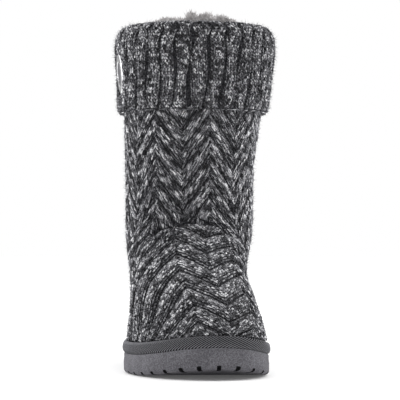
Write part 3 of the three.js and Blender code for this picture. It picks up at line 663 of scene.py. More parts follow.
def loose_hairs(stitches, share, seed):
    """Thin three-sided spikes on a share of the leaves, from the top of a leaf outwards and askew. A leaf's
    points 1 and 3 are the bottom and top of its first ring, and 0 and 9 its ends."""
    leaf = np.empty(len(stitches.data.vertices) * 3, np.float32)
    stitches.data.vertices.foreach_get("co", leaf)
    leaf = leaf.reshape(-1, LEAF_POINTS, 3) / MM
    rng = np.random.default_rng(seed)
    leaf = leaf[rng.random(len(leaf)) < share]
    out, along = unit(leaf[:, 3] - leaf[:, 1]), unit(leaf[:, 9] - leaf[:, 0])
    side = np.cross(out, along)
    lean = rng.normal(0, HAIR_LEAN, (2, len(leaf), 1))
    direction = unit(out + along * lean[0] + side * lean[1])
    length = rng.uniform(SHORTEST_HAIR, LONGEST_HAIR, (len(leaf), 1))
    first = unit(np.cross(direction, along + 0.3))
    second = np.cross(direction, first)
    root = leaf[:, 3] - out * 0.2
    corners = [root + (first * math.cos(t) + second * math.sin(t)) * HAIR_WIDTH / 2 for t in (0, 2.1, 4.2)]
    points = np.stack([*corners, root + direction * length], axis=1)
    faces = np.array([[0, 2, 1], [0, 1, 3], [1, 2, 3], [2, 0, 3]])
    start = (np.arange(len(leaf)) * 4)[:, None, None]
    return points.reshape(-1, 3), [(faces[None] + start).reshape(-1, 3)]


def loose_fibre():
    """Single wool fibres: thin, matt, and dark or pale grey as their yarn was dyed."""
    material, tree, place = blank("loose wool fibre")
    dye = add(tree, "ShaderNodeTexNoise", {"Vector": place, "Scale": 300.0, "Detail": 1.0}).outputs[0]
    tone = add(tree, "ShaderNodeValToRGB", {"Fac": dye}, [(0.35, srgb("#2E2E32")), (0.65, srgb("#A6A6AA"))])
    fibre = add(tree, "ShaderNodeBsdfPrincipled", {
        "Base Color": tone.outputs[0], "Roughness": 1.0, "Specular IOR Level": 0.1})
    add(tree, "ShaderNodeOutputMaterial", {"Surface": fibre.outputs[0]})
    return material


hair = loose_fibre()
piece("shaft_hairs", *loose_hairs(shaft_stitches, 0.5, 31), [hair], "knit")
piece("vamp_hairs", *loose_hairs(vamp_stitches, 0.4, 32), [hair], "knit")


# The insole.
# A foam pad faced with the same plush as the lining. It lies on the outsole inside the upper.
INSOLE_THICKNESS, INSOLE_ROUND = 5, 1.6


def slab(rings, across, bend=None):
    """A plate from loops stacked upwards, with as many points each, that begin at the middle of the toe. Its
    ends are closed by rows of quads from side to side. bend lifts the grid of the underside."""
    count = rings.shape[1]
    half = count // 2
    points = rings.reshape(-1, 3)
    faces = [tube_faces(len(rings), count, False)]
    i = np.arange(1, half)
    for start, columns, top in ((0, across[0], False), ((len(rings) - 1) * count, across[1], True)):
        share = np.linspace(0, 1, columns + 1)[1:-1]
        left, right = points[start + i], points[start + count - i]
        grid = left[:, None] + (right - left)[:, None] * share[None, :, None]
        if bend and not top:
            grid = bend(grid, right[:, None, 0], left[:, None, 0])
        middle = len(points) + np.arange(grid.shape[0] * grid.shape[1]).reshape(grid.shape[:2])
        points = np.concatenate([points, grid.reshape(-1, 3)])
        index = np.concatenate([start + i[:, None], middle, start + count - i[:, None]], axis=1)
        quads = np.stack([index[:-1, :-1], index[1:, :-1], index[1:, 1:], index[:-1, 1:]], -1).reshape(-1, 4)
        toe = np.stack([0 * index[0, 1:] + start, index[0, :-1], index[0, 1:]], -1)
        heel = np.stack([0 * index[-1, 1:] + start + half, index[-1, 1:], index[-1, :-1]], -1)
        faces += [f if top else f[:, ::-1] for f in (quads, toe, heel)]
    return points, faces


def make_insole():
    """Loops inside the upper's foot: three up the side and two over the round of the top edge. A product of
    sines lays a nap on the top."""
    angle = math.pi + TURN * np.arange(240) / 240
    rings = []
    for inset, height in ((0, 0), (0, 2.2), (0, INSOLE_THICKNESS - INSOLE_ROUND), (0.5, 4.4),
                          (INSOLE_ROUND, INSOLE_THICKNESS)):
        ring = beside_last(angle, 0 * angle, -(UPPER_WALL + GAP + inset) + 0 * angle)
        ring[:, 2] = sole_top(ring[:, 1]) + GAP + height
        rings.append(ring)
    points, faces = slab(np.array(rings), (20, 40))
    top = points[:, 2] > sole_top(points[:, 1]) + GAP + INSOLE_THICKNESS - 0.2
    nap = np.sin(points[:, 0] * 1.1 + 2 * np.sin(points[:, 1] * 0.7)) * np.sin(points[:, 1] * 0.9)
    points[:, 2] += np.where(top, 0.35 * nap, 0)
    return points, faces


insole_points, insole_faces = make_insole()
piece("plush_insole", insole_points, insole_faces, [lining], "plush", ["insole"])


# The outsole.
# One piece of grey rubber, moulded with small notches along its lower edge and shallow tread grooves,
# cemented to the lasted upper under the binding band.
RUBBER_INSET = 0.6
NOTCH_WIDTH, NOTCH_HEIGHT, NOTCH_DEPTH, NOTCH_PITCH = 2.7, 2.2, 7.0, 14.3
TREAD_MARGIN, TREAD_WIDTH, TREAD_DEPTH, TREAD_PITCH = 13, 3.2, 2.6, 14
TREAD_ZONES = [(0.07, 0.2), (0.56, 0.88)]
SOLE_COLUMNS, SOLE_ACROSS = 1200, 44
# inset, lift over the underside, share of the wall's height, and share of the notch's width at the loop
SOLE_WALL = [
    (7.4, 0.0, 0, 0), (2.6, 0.0, 0, 1), (1.6, 0.3, 0, 1), (0.8, 0.78, 0, 1), (0.25, 1.6, 0, 1),
    (0.0, 1.9, 0, 0.85), (0.0, NOTCH_HEIGHT, 0, 0.45), (-0.1, NOTCH_HEIGHT + 0.15, 0, 0),
    (-0.25, 0.0, 0.55, 0), (0.15, 0.0, 0.78, 0), (0.0, 0.0, 0.93, 0), (0.4, 0.0, 1, 0), (8.0, 0.0, 1, 0),
]


def moulded_rubber(name, shadow, tip):
    """Matt grey rubber straight from the mould, with a fine grain and a faint broad mottling."""
    material, tree, place = blank(name)
    cloud = add(tree, "ShaderNodeTexNoise", {"Vector": place, "Scale": 60.0, "Detail": 4.0}).outputs[0]
    grain = add(tree, "ShaderNodeTexNoise", {"Vector": place, "Scale": 1100.0, "Detail": 2.0}).outputs[0]
    speck = add(tree, "ShaderNodeMapRange", {0: grain, 1: 0.35, 2: 0.65, 3: 0.0, 4: 0.5}).outputs[0]
    mottled = add(tree, "ShaderNodeMath", {0: cloud, 1: 0.6, 2: speck}, operation="MULTIPLY_ADD").outputs[0]
    tone = add(tree, "ShaderNodeValToRGB", {"Fac": mottled}, [(0.3, srgb(shadow)), (0.9, srgb(tip))])
    bump = add(tree, "ShaderNodeBump", {"Height": grain, "Strength": 0.3, "Distance": 0.0003})
    rubber = add(tree, "ShaderNodeBsdfPrincipled", {
        "Base Color": tone.outputs[0], "Roughness": 0.85, "Specular IOR Level": 0.1,
        "Normal": bump.outputs[0]})
    add(tree, "ShaderNodeOutputMaterial", {"Surface": rubber.outputs[0]})
    return material


def length_along(line):
    """Length along a line of points, from 0 at the first of them."""
    return np.concatenate([[0], np.cumsum(np.linalg.norm(np.diff(line, axis=0), axis=1))])


def even_turn(count, start):
    """Angles once round from start, equally far apart along the foot of the last."""
    angle = start + TURN * np.arange(4001) / 4000
    reach = length_along(on_last(angle, 0 * angle))
    return np.interp(reach[-1] * np.arange(count) / count, reach, angle)


def sole_edge(angle, inset):
    """The outsole's side: a little within the face of the binding tape, less an inset."""
    return beside_last(angle, 0 * angle, BAND_THICKNESS + GAP - RUBBER_INSET - inset)


def tread_depth(x, y, left, right):
    """Depth of the chevron grooves: a groove where the distance to its bent line is under half its width."""
    middle = (left + right) / 2
    half = np.maximum((right - left) / 2, 1)
    bend = 0.2 * half * (1 - np.abs(x - middle) / half)
    depth = np.zeros_like(x)
    inside = (np.abs(x - middle) < half - TREAD_MARGIN)
    for start, end in TREAD_ZONES:
        count = max(1, round((end - start) * UPPER_LENGTH / TREAD_PITCH))
        pitch = (end - start) * UPPER_LENGTH / count
        row = ((HEEL_REACH - y - bend) - start * UPPER_LENGTH) / pitch
        offset = np.abs(row - np.floor(row) - 0.5) * pitch
        groove = ease((TREAD_WIDTH / 2 + 0.4 - offset) / 0.8)
        depth = np.maximum(depth, groove * inside * (row > 0) * (row < count))
    return depth * TREAD_DEPTH


def tread(grid, left, right):
    """Lifts the underside's grid into the tread grooves."""
    x, y = grid[..., 0], grid[..., 1]
    depth = tread_depth(x, y, left, right)
    return np.stack([x, y, sole_bottom(y) + depth], axis=-1)


def make_outsole():
    """Loops up the side wall, with the notches pushed in where the edge's length says, and a treaded base.
    Also gives, for each face, whether it touches a notch: those faces are painted dark as shade.
    """
    angle = even_turn(SOLE_COLUMNS, math.pi)
    edge = sole_edge(angle, 0 * angle)
    reach = length_along(np.vstack([edge, edge[:1]])[:, :2])
    pitch = reach[-1] / round(reach[-1] / NOTCH_PITCH)
    place = reach[:-1] / pitch
    from_notch = np.abs(place - np.round(place)) * pitch
    rings, cut = [], []
    for inset, lift, share, width in SOLE_WALL:
        notched = from_notch < NOTCH_WIDTH / 2 * width
        ring = sole_edge(angle, np.where(notched, NOTCH_DEPTH, inset))
        low, high = sole_bottom(ring[:, 1]), sole_top(ring[:, 1])
        ring[:, 2] = low + lift + (high - low) * share
        rings.append(ring)
        cut.append(notched)
    points, faces = slab(np.array(rings), (SOLE_ACROSS, 6), tread)
    # Points of the notches: the faces that touch them are painted dark as painted shade
    dark = np.zeros(len(points), bool)
    dark[:len(rings) * SOLE_COLUMNS] = np.concatenate(cut)
    return points, faces, np.concatenate([dark[f].any(axis=1) for f in faces])


# The notches' faces are painted nearly black: painted shade in their deep recesses.
sole_points, sole_faces, sole_painted_shade = make_outsole()
piece("rubber_outsole", sole_points, sole_faces,
      [moulded_rubber("moulded rubber", "#4C4B4F", "#737277"),
       moulded_rubber("rubber painted dark in the notches", "#121213", "#242427")],
      "rubber_sole", ["outsole"], paint=sole_painted_shade, crease=40)


# The binding band.
# A woven twill tape folded over the seam of upper and sole and cemented down. Its diagonal ribs stand out.
TWILL_PITCH, TWILL_SLOPE, TWILL_RELIEF, BAND_COLUMNS, BAND_ROWS = 2.35, 1.7, 0.8, 1560, 26
# out: share of the thickness; rise: share of the height
TAPE_PROFILE = np.array([
    [0.00, 0.00], [0.50, 0.00], [0.86, 0.04], [1.00, 0.14], [1.07, 0.28], [1.10, 0.44], [1.08, 0.60],
    [1.02, 0.74], [0.92, 0.86], [0.78, 0.95], [0.62, 1.00], [0.40, 1.03], [0.00, 1.00],
])


def make_band():
    """The tape's profile carried round the foot, with slanting ribs: a power of the sine of the length round
    the foot, less the slope times the height, over the pitch."""
    angle = even_turn(BAND_COLUMNS, 0)
    foot = on_last(angle, 0 * angle)
    reach = length_along(foot)
    total = reach[-1] + np.linalg.norm(foot[0] - foot[-1])
    pitch = total / round(total / TWILL_PITCH)
    rings, raised = [], []
    last = len(TAPE_PROFILE) - 1
    places = [0, *np.linspace(1, last - 1, BAND_ROWS), last]
    for out, rise in zip(*(np.interp(places, np.arange(last + 1), column) for column in TAPE_PROFILE.T)):
        raised.append(np.abs(np.sin(np.pi * (reach - rise * BAND_HEIGHT * TWILL_SLOPE) / pitch)) ** 1.3)
        rib = (raised[-1] - 0.6) * TWILL_RELIEF * np.clip((rise - 0.1) / 0.2, 0, 1)
        ring = beside_last(angle, 0 * angle, GAP + out * BAND_THICKNESS + rib)
        if out < 0.1 and rise > 0.5:
            ring = beside_last(angle, 1 + 0 * angle, GAP + 0 * angle)
        else:
            ring[:, 2] = sole_top(ring[:, 1]) + 0.1 + (BAND_HEIGHT - 0.1) * rise + (rib if rise > 0.8 else 0)
        rings.append(ring)
    return np.array(rings), np.concatenate(raised)


def woven_tape():
    """Polyester twill tape: charcoal, matt, with a thread's grain along the ribs. The ribs' tops are painted
    pale and their furrows dark, as painted highlight and painted shade.
    """
    material, tree, place = blank("woven twill tape")
    grain = add(tree, "ShaderNodeTexNoise", {"Vector": place, "Scale": 1400.0, "Detail": 2.0}).outputs[0]
    raised = add(tree, "ShaderNodeAttribute", attribute_name="shade").outputs["Fac"]
    # The ribs' height sets a painted highlight on their tops and painted shade in their furrows
    painted_rib_shade = add(tree, "ShaderNodeMapRange", {0: raised, 1: 0.35, 2: 0.95, 3: -0.3, 4: 0.6}).outputs[0]
    level = add(tree, "ShaderNodeMath", {0: grain, 1: 0.45, 2: painted_rib_shade}, operation="MULTIPLY_ADD").outputs[0]
    tone = add(tree, "ShaderNodeValToRGB", {"Fac": level}, [(0.2, srgb("#101012")), (0.8, srgb("#78787C"))])
    bump = add(tree, "ShaderNodeBump", {"Height": grain, "Strength": 0.4, "Distance": 0.0003})
    twill = add(tree, "ShaderNodeBsdfPrincipled", {
        "Base Color": tone.outputs[0], "Roughness": 0.9, "Specular IOR Level": 0.1,
        "Normal": bump.outputs[0]})
    add(tree, "ShaderNodeOutputMaterial", {"Surface": twill.outputs[0]})
    return material


# The ribs' heights go to the tape as its shade attribute, for its painted highlight and painted shade
band_rings, band_raised = make_band()
piece("binding_tape", band_rings.reshape(-1, 3), [tube_faces(len(band_rings), BAND_COLUMNS, True)],
      [woven_tape()], "woven_tape", ["binding_band"], shade=band_raised)


# The cuff.
# A band of rib knit in the same wool, drawn up over the collar and folded down outside. Four wales of
# plain stitches stand out in each rib, and the purl wales between them lie back in shadow.
FOLD_RISE, CUFF_LENGTH, CUFF_STANDOFF, HEM_STANDOFF = 10, 70, 10.8, 6.4
CUFF_TOP = COLLAR_HEIGHT + FOLD_RISE
CUFF_HEM = CUFF_TOP - CUFF_LENGTH
RIB_COUNT, RIB_DEPTH, RIB_START, RIB_LEAN, FLAP_THICKNESS = 32, 1.9, -0.08, 0.07, 3.6
RIB_SWAY = 0.02
# rise: share of the height; full: share from the hem's standoff to the fullest; ribbed: share of the depth
CUFF_FACE = np.array([
    [0.00, -0.30, 0.6], [0.05, 0.05, 1.0], [0.36, 0.48, 1.0], [0.68, 0.95, 1.0], [0.83, 0.90, 1.0],
    [0.905, 0.52, 0.9], [0.955, -0.15, 0.7], [0.97, -1.00, 0.4], [0.945, -1.75, 0.2], [0.895, -2.20, 0.0],
])
FACE_LOOPS = len(CUFF_FACE) - 1


def rib_height(turns):
    """Height of the knit at a number of ribs round: a flat-topped rib, with a furrow at each whole number."""
    away = np.abs(turns - np.round(turns))
    return RIB_DEPTH * (0.15 + 0.12 * np.cos(TURN * (away - 0.5)) - 1.3 * np.exp(-(away / 0.135) ** 2))


def on_cuff(angle, s, out=0.0):
    """A point of the cuff's face at s along the profile, from 0 at the hem: the shaft moved out by the
    profile and the rib, and turned with the lean and a slight sway."""
    rise, full, ribbed = between_rows(CUFF_FACE, s)
    standoff = HEM_STANDOFF + (CUFF_STANDOFF - HEM_STANDOFF) * full
    rib = rib_height(angle * RIB_COUNT / TURN) * ribbed
    height = CUFF_HEM + (CUFF_TOP - CUFF_HEM) * rise
    sway = RIB_SWAY * np.sin(2.3 * s + 4 * np.sin(5 * angle))
    return beside_shaft(angle + RIB_START + RIB_LEAN * rise + sway, height, standoff + rib + out)


def cuff_frame(angle, s):
    """Directions round and up the cuff, and out of it, from small steps."""
    round_ = unit(on_cuff(angle + 0.01, s) - on_cuff(angle - 0.01, s))
    up = unit(on_cuff(angle, np.minimum(s + 0.02, FACE_LOOPS)) - on_cuff(angle, np.maximum(s - 0.02, 0)))
    return round_, up, unit(np.cross(round_, up))


# The badge's place: on the cuff's outer side, with its back drawn into the knit.
BADGE_DIAMETER, BADGE_ABOVE_HEM, BADGE_TURN, BADGE_SINK = 34, 31, 0.14, 3


def badge_seat():
    """The middle of the badge's back, and its axes: two across it and one out, tipped with the cuff's
    face."""
    height = CUFF_HEM + BADGE_ABOVE_HEM
    rise = BADGE_ABOVE_HEM / CUFF_LENGTH
    angle = math.pi / 2 + BADGE_TURN
    reach = BADGE_DIAMETER / CUFF_LENGTH / 2
    full = np.interp([rise - reach, rise, rise + reach], CUFF_FACE[:5, 0], CUFF_FACE[:5, 1])
    out = HEM_STANDOFF + (CUFF_STANDOFF - HEM_STANDOFF) * full
    level = unit(beside_shaft(angle, height, 1.0) - beside_shaft(angle, height, 0.0))
    axis = unit(level - np.array([0, 0, (out[2] - out[0]) / BADGE_DIAMETER]))
    point = beside_shaft(angle, height, out[1] + 0.15 - BADGE_SINK)
    across = unit(np.cross([0, 0, 1], axis))
    return point, np.stack([across, np.cross(axis, across), axis])


SEAT, SEAT_AXES = badge_seat()


# How far the dent in the knit goes beyond the badge, the width over which it eases out, how far it lies
# behind the badge's back, and how deep the knit is that it can reach
DENT_MARGIN, DENT_EASE, DENT_BEHIND, DENT_REACH = 3.2, 2.6, 0.4, 8


def press_in(points):
    """The badge presses the knit under it back to just behind the plate, by an ease from beyond its edge
    inwards. Gives the points, and their distances from the badge's axis."""
    local = (points - SEAT) @ SEAT_AXES.T
    height = local[..., 2].copy()
    from_middle = np.linalg.norm(local[..., :2], axis=-1)
    from_middle = np.where(height > -DENT_REACH, from_middle, BADGE_DIAMETER)
    pressed = ease((BADGE_DIAMETER / 2 + DENT_MARGIN - from_middle) / DENT_EASE)
    local[..., 2] = np.where(height > -DENT_BEHIND, height + (-DENT_BEHIND - height) * pressed, height)
    return local @ SEAT_AXES + SEAT, from_middle


CUFF_COLUMNS, CUFF_ROWS = 384, 64


def make_cuff():
    """Loops up the ribbed face, over the fold and into the collar, then back down the flap's inside."""
    angle = TURN * np.arange(CUFF_COLUMNS) / CUFF_COLUMNS
    a, s = np.meshgrid(angle, np.linspace(0, FACE_LOOPS, CUFF_ROWS))
    face, _ = press_in(on_cuff(a, s))
    lean = angle + RIB_START + RIB_LEAN
    rings = [face]
    for rise, out in ((None, -UPPER_WALL + GAP), (None, GAP), (0.74, None), (0.36, None), (0.04, None)):
        height = COLLAR_HEIGHT + GAP if rise is None else CUFF_HEM + CUFF_LENGTH * rise
        if out is None:
            full = np.interp(rise, CUFF_FACE[:5, 0], CUFF_FACE[:5, 1])
            out = max(GAP, HEM_STANDOFF + (CUFF_STANDOFF - HEM_STANDOFF) * full - FLAP_THICKNESS)
        turn = lean if rise is None else angle + RIB_START + RIB_LEAN * rise
        rings.append(beside_shaft(turn, height, out)[None])
    return np.concatenate(rings)


cuff_rings = make_cuff()
piece("rib_cuff", cuff_rings.reshape(-1, 3), [tube_faces(len(cuff_rings), CUFF_COLUMNS, True)],
      [ground], "rib_knit", ["cuff"])

# Its stitches: two short arms of yarn meet in a V in each row of each plain wale.
WALES, ROW_PITCH = np.array([0.215, 0.405, 0.595, 0.785]), 2.35
ARM_LENGTH, ARM_WIDTH, ARM_HEIGHT, ARM_TURN = 3.1, 1.25, 1.2, math.radians(24)
# Half the distance between the middles of a stitch's two arms, as a share of a rib
ARM_APART = 0.047
HEM_STITCHES, HEM_PLACE, HEM_LENGTH, HEM_TURN = 150, 0.28, 4.2, math.radians(68)
RIB_PLY_TURN = 9.0


def face_row_places():
    """Places s of the rows of stitches, one row pitch apart along the profile."""
    s = np.linspace(0, FACE_LOOPS - 0.6, 400)
    rise, full, _ = between_rows(CUFF_FACE, s)
    curve = np.stack([rise * CUFF_LENGTH, full * (CUFF_STANDOFF - HEM_STANDOFF)], -1)
    length = length_along(curve)
    return np.interp(np.arange(2.6, length[-1], ROW_PITCH), length, s)


def make_cuff_stitches():
    """A pair of leaves at each row and wale, leaning apart upwards, and a row of longer ones as the hem."""
    rows = face_row_places()
    rib, wale, row, arm = (x.ravel() for x in np.meshgrid(
        np.arange(RIB_COUNT), WALES, np.arange(len(rows)), [-1, 1], indexing="ij"))
    rng = np.random.default_rng(11)
    turns = rib + wale + arm * ARM_APART + rng.normal(0, 0.006, len(rib))
    angle = turns * TURN / RIB_COUNT
    s = rows[row]
    lean = arm * ARM_TURN + rng.normal(0, 0.1, len(rib))
    length = ARM_LENGTH * rng.uniform(0.9, 1.12, len(rib))
    hem = TURN * np.arange(HEM_STITCHES) / HEM_STITCHES
    angle, s = np.concatenate([angle, hem]), np.concatenate([s, 0 * hem + HEM_PLACE])
    lean = np.concatenate([lean, 0 * hem + HEM_TURN])
    length = np.concatenate([length, 0 * hem + HEM_LENGTH])
    # Stitches of the outer wales, beside the purl furrows, are painted a fifth darker: painted shade
    shaded = np.where(np.abs(wale - 0.5) > 0.2, 0.8, 1.0)
    shade = np.concatenate([rng.uniform(0, 1, len(rib)) * shaded, rng.uniform(0.1, 0.8, len(hem))])
    round_, up, out = cuff_frame(angle, s)
    centre = on_cuff(angle, s) + out * (ARM_HEIGHT * 0.3 + rng.normal(0, 0.1, len(s)))[:, None]
    centre, from_middle = press_in(centre)
    keep = from_middle > BADGE_DIAMETER / 2 + 1.2
    along = up * np.cos(lean)[:, None] + round_ * np.sin(lean)[:, None]
    points, faces, uv, size = yarn_leaves(centre[keep], along[keep], out[keep], length[keep], ARM_WIDTH,
                                          ARM_HEIGHT, 0.3, LEAF_SIDES, (-0.45, 0.45))
    return points, faces, uv, np.repeat(shade[keep], size)


rib_wool = marl_wool("rib knit marl wool", RIB_PLY_TURN, 0.38, (90.0, 90.0, 200.0), 0.2,
                     ("#121214", "#2B2B2E", "#5A5A5E", "#A0A0A4", "#F0F0F2"))
points, faces, uv, shade = make_cuff_stitches()
cuff_stitches = piece("cuff_stitches", points, faces, [rib_wool], "rib_knit", uv=uv, shade=shade)
piece("cuff_hairs", *loose_hairs(cuff_stitches, 0.6, 33), [hair], "rib_knit")


# The collar pile.
# The deep plush of the lining where it fills the mouth: a sewn-in ring of knitted fleece whose fibres clump
# into small locks. They stand highest at the front, in tufts over the cuff.
PILE_THICKNESS, PILE_CLEARANCE, PILE_COLUMNS, LOCK_COUNT = 7, 0.6, 300, 9000
# turn from the middle of the front to the inner side, half the width (radians), and height over the ring
TUFTS = np.array([
    (-0.04, 0.09, 7.4), (0.19, 0.15, 6.6), (0.46, 0.15, 5.4), (0.66, 0.08, 2.8), (-0.45, 0.36, 3.4),
])
# share of the locks in each tuft, and in the rest of the ring
LOCK_SHARES = [0.09, 0.14, 0.09, 0.04, 0.07, 0.57]
PILE_OUTER = -(UPPER_WALL + PILE_CLEARANCE)
PILE_INNER = PILE_OUTER - PILE_THICKNESS
# height under the cuff's top, and share from the outer to the inner side, up the outside and down the inside
PILE_PROFILE = np.array([
    [40, 0.00], [10, 0.00], [5.4, 0.02], [3.4, 0.12], [2.4, 0.30], [2.4, 0.55], [3.2, 0.78], [5.2, 0.95],
    [10, 1.00], [20, 1.00], [30, 1.00], [38, 0.95],
])


def on_pile(angle, s, out=0.0):
    """A point of the ring at s along its profile."""
    rows = np.arange(len(PILE_PROFILE))
    drop, share = (np.interp(s, rows, column) for column in PILE_PROFILE.T)
    return beside_shaft(angle, CUFF_TOP - drop, PILE_OUTER + (PILE_INNER - PILE_OUTER) * share + out)


def make_pile():
    """The ring, with its profile rounded and its top and inside rippled by the clumps."""
    angle = TURN * np.arange(PILE_COLUMNS) / PILE_COLUMNS
    a, s = np.meshgrid(angle, np.linspace(0, len(PILE_PROFILE) - 1, 34))
    points = on_pile(a, s)
    clump = np.sin(a * 61 + 2 * np.sin(s * 2.3)) * np.sin(s * 2.9 + 3 * np.sin(a * 17))
    points[..., 2] += 0.5 * clump * (s > 3)
    return points


def make_locks():
    """Curved three-sided locks on the ring. Each leans its own way, up on the top and inwards inside. In a
    tuft they are longer towards its middle, and lean to it."""
    rng = np.random.default_rng(23)
    tuft = rng.choice(len(TUFTS) + 1, LOCK_COUNT, p=LOCK_SHARES)
    turn, half, height = np.vstack([TUFTS, [0, 1, 0]])[tuft].T
    place = rng.uniform(-1, 1, LOCK_COUNT)
    in_tuft = tuft < len(TUFTS)
    angle = np.where(in_tuft, math.pi + turn + half * place, rng.uniform(0, TURN, LOCK_COUNT))
    s = np.where(in_tuft, rng.uniform(2.5, 6, LOCK_COUNT), rng.uniform(2.5, 10.5, LOCK_COUNT))
    root = on_pile(angle, s, -0.2)
    inward = unit(on_pile(angle, s, -1.0) - on_pile(angle, s, 0.0))
    round_ = np.stack([-inward[:, 1], inward[:, 0], 0 * angle], -1)
    inside = ease((s - 6.5) / 2.5)[:, None]
    up = np.array([0, 0, 1.0])
    lean = rng.normal(0, 0.4, (LOCK_COUNT, 2))
    direction = unit(up * (1 - 0.75 * inside) + inward * (0.1 + 0.8 * inside + 0.5 * lean[:, :1])
                     + round_ * (lean[:, 1:] * 0.6 + np.where(in_tuft, 0.35 * place, 0)[:, None]))
    grown = np.where(in_tuft, height * (1 - place ** 2) ** 0.5 * rng.uniform(0.4, 1, LOCK_COUNT), 0)
    length = (rng.uniform(1.8, 3.6, LOCK_COUNT) + grown)[:, None]
    curl = unit(rng.normal(0, 1, (LOCK_COUNT, 3))) * length * 0.22
    side = unit(np.cross(direction, round_ + 0.3))
    other = np.cross(direction, side)
    turn = TURN * np.arange(3) / 3
    width = rng.uniform(0.55, 0.95, LOCK_COUNT)[:, None]
    rings = []
    for place, size in ((0, 1.0), (0.4, 0.85), (0.75, 0.5)):
        middle = root + direction * length * place + curl * place * place
        for t in turn:
            rings.append(middle + (side * math.cos(t) + other * math.sin(t)) * width * size)
    rings.append(root + direction * length + curl)
    points = np.stack(rings, axis=1)
    quads = np.array([[r * 3 + m, r * 3 + (m + 1) % 3, r * 3 + 3 + (m + 1) % 3, r * 3 + 3 + m]
                      for r in range(2) for m in range(3)])
    tris = np.array([[6, 7, 9], [7, 8, 9], [8, 6, 9], [0, 2, 1]])
    first = (np.arange(LOCK_COUNT) * 10)[:, None, None]
    return points.reshape(-1, 3), [(quads[None] + first).reshape(-1, 4), (tris[None] + first).reshape(-1, 3)]


fleece = plush("plush fleece", "#A5A1A1", "#E2DFDF")
pile_rings = make_pile()
piece("plush_collar", pile_rings.reshape(-1, 3), [tube_faces(len(pile_rings), PILE_COLUMNS, True)],
      [fleece], "plush", ["collar_pile"])
lock_points, lock_faces = make_locks()
piece("plush_locks", lock_points, lock_faces, [fleece], "plush")


# The badge.
# A round plate of polished steel with a broad rolled rim, pinned through the cuff, and a plain dark enamel
# inlay in its recess.
# radius and height, from the middle of the back round to the middle of the front
PLATE_PROFILE = [
    (0, 0), (8, 0), (15.4, 0), (16.4, 0.15), (16.9, 0.6), (17, 1.0), (16.85, 1.4), (16.4, 1.75),
    (15.4, 2.1), (14, 2.33), (12.5, 2.4), (11.2, 2.36), (10.3, 2.22), (9.9, 2.0), (9.8, 1.7), (9.8, 1.4),
    (6, 1.4), (0, 1.4),
]
INLAY_PROFILE = [
    (0, 1.7), (5, 1.7), (9.3, 1.7), (9.5, 1.8), (9.5, 2.0), (9.2, 2.12), (8, 2.2), (5.7, 2.25), (3, 2.33),
    (0, 2.35),
]


def turned(profile, sides=96):
    """The profile turned about the badge's axis. Its first and last rows are single points on the axis."""
    turn = TURN * np.arange(sides) / sides
    rows = np.array(profile[1:-1])
    ring = np.stack([rows[:, :1] * np.cos(turn), rows[:, :1] * np.sin(turn), rows[:, 1:] + 0 * turn], -1)
    local = np.concatenate([ring.reshape(-1, 3), [[0, 0, profile[0][1]], [0, 0, profile[-1][1]]]])
    m = np.arange(sides)
    n = (m + 1) % sides
    back, front = len(local) - 2, len(local) - 1
    top = (len(rows) - 1) * sides
    caps = np.concatenate([np.stack([0 * m + back, n, m], 1), np.stack([top + m, top + n, 0 * m + front], 1)])
    return local @ SEAT_AXES + SEAT, [tube_faces(len(rows), sides, False), caps]


def polished_steel():
    """Polished stainless steel: a clear mirror, a little hazed, with very fine rubbing marks."""
    material, tree, place = blank("polished steel")
    haze = add(tree, "ShaderNodeTexNoise", {"Vector": place, "Scale": 400.0, "Detail": 3.0}).outputs[0]
    rough = add(tree, "ShaderNodeMapRange", {0: haze, 1: 0.3, 2: 0.7, 3: 0.12, 4: 0.22}).outputs[0]
    steel = add(tree, "ShaderNodeBsdfPrincipled", {
        "Base Color": srgb("#E4E4E6"), "Metallic": 1.0, "Roughness": rough})
    add(tree, "ShaderNodeOutputMaterial", {"Surface": steel.outputs[0]})
    return material


def dark_enamel():
    """Fired enamel: smooth, dark grey and glossy, with a faint depth of tone."""
    material, tree, place = blank("dark enamel")
    depth = add(tree, "ShaderNodeTexNoise", {"Vector": place, "Scale": 120.0, "Detail": 2.0}).outputs[0]
    tone = add(tree, "ShaderNodeValToRGB", {"Fac": depth}, [(0, srgb("#3A3A3E")), (1, srgb("#57575B"))])
    enamel = add(tree, "ShaderNodeBsdfPrincipled", {
        "Base Color": tone.outputs[0], "Roughness": 0.5, "Specular IOR Level": 0.2})
    add(tree, "ShaderNodeOutputMaterial", {"Surface": enamel.outputs[0]})
    return material


plate_points, plate_faces = turned(PLATE_PROFILE)
piece("badge_ring", plate_points, plate_faces, [polished_steel()], "polished_metal", ["badge_plate"],
      crease=35)
inlay_points, inlay_faces = turned(INLAY_PROFILE)
piece("badge_enamel", inlay_points, inlay_faces, [dark_enamel()], "dark_enamel", ["badge_inlay"],
      crease=50)


# The floor, the light and the camera.
# White studio paper, a bright even surround, soft boxes at both sides, a low one before the toe and a wide
# diffuser overhead. The camera stands low before the toe, a long way off.
def studio_white():
    """A matt white sheet with the slightest grain, lit softly from beneath."""
    material, tree, place = blank("studio paper")
    grain = add(tree, "ShaderNodeTexNoise", {"Vector": place, "Scale": 40.0}).outputs[0]
    tone = add(tree, "ShaderNodeMapRange", {0: grain, 3: 0.93, 4: 0.95}).outputs[0]
    paper = add(tree, "ShaderNodeBsdfPrincipled", {
        "Base Color": tone, "Roughness": 1.0, "Specular IOR Level": 0.0,
        "Emission Color": (1.0, 1.0, 1.0, 1.0), "Emission Strength": 0.07})
    add(tree, "ShaderNodeOutputMaterial", {"Surface": paper.outputs[0]})
    return material


FLOOR_HALF = 6.0
floor_mesh = bpy.data.meshes.new("studio_floor")
floor_corners = [(x * FLOOR_HALF, y * FLOOR_HALF, 0) for x, y in ((-1, -1), (1, -1), (1, 1), (-1, 1))]
floor_mesh.from_pydata(floor_corners, [], [(0, 1, 2, 3)])
floor_mesh.materials.append(studio_white())
floor = bpy.data.objects.new("studio_floor", floor_mesh)
bpy.context.scene.collection.objects.link(floor)


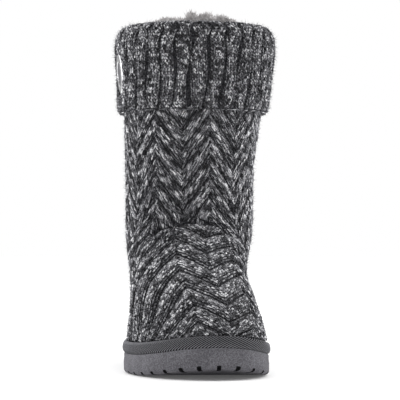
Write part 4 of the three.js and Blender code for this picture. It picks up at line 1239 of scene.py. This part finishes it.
def soft_light(name, place, target, size, watts):
    """A square soft box at a place, facing a target."""
    lamp = bpy.data.lights.new(name, "AREA")
    lamp.shape = "SQUARE"
    lamp.size, lamp.energy = size, watts
    thing = bpy.data.objects.new(name, lamp)
    thing.location = place
    direction = Vector(target) - Vector(place)
    thing.rotation_euler = direction.to_track_quat("-Z", "Y").to_euler()
    bpy.context.scene.collection.objects.link(thing)


BOOT_MIDDLE = (0.0, -0.05, 0.14)
soft_light("left_box", (-1.4, 0.3, 0.6), BOOT_MIDDLE, 1.0, 18)
soft_light("right_box", (1.4, 0.3, 0.6), BOOT_MIDDLE, 1.0, 19)
soft_light("low_box", (0.0, -1.9, 0.06), (0.0, -0.2, 0.0), 0.8, 6)

# An overhead diffuser so large that it lights the whole floor evenly
sky = bpy.data.lights.new("overhead", "SUN")
sky.energy, sky.angle = 2.1, math.radians(120)
overhead = bpy.data.objects.new("overhead", sky)
overhead.rotation_euler = (math.radians(-20), 0, 0)
bpy.context.scene.collection.objects.link(overhead)

# White to the eye, and dimmer as a light
SURROUND_LIGHT = 0.43
world = bpy.data.worlds.new("studio")
bpy.context.scene.world = world
world.use_nodes = True
world.node_tree.nodes.clear()
seen = add(world.node_tree, "ShaderNodeLightPath").outputs["Is Camera Ray"]
bright = add(world.node_tree, "ShaderNodeMapRange", {0: seen, 3: SURROUND_LIGHT, 4: 1.0}).outputs[0]
glow = add(world.node_tree, "ShaderNodeBackground", {"Color": (1.0, 1.0, 1.0, 1.0), "Strength": bright})
add(world.node_tree, "ShaderNodeOutputWorld", {"Surface": glow.outputs[0]})
bpy.context.scene.view_settings.view_transform = "Standard"

CAMERA_PLACE, CAMERA_TARGET, LENS = (-0.0719, -1.5834, 0.107), (0.0079, -0.0004, 0.1314), 175.1
lens = bpy.data.cameras.new("camera")
lens.lens, lens.sensor_width = LENS, 36
lens.clip_start, lens.clip_end = 0.05, 50
camera = bpy.data.objects.new("camera", lens)
camera.location = CAMERA_PLACE
aim = Vector(CAMERA_TARGET) - Vector(CAMERA_PLACE)
camera.rotation_euler = aim.to_track_quat("-Z", "Y").to_euler()
bpy.context.scene.collection.objects.link(camera)
bpy.context.scene.camera = camera
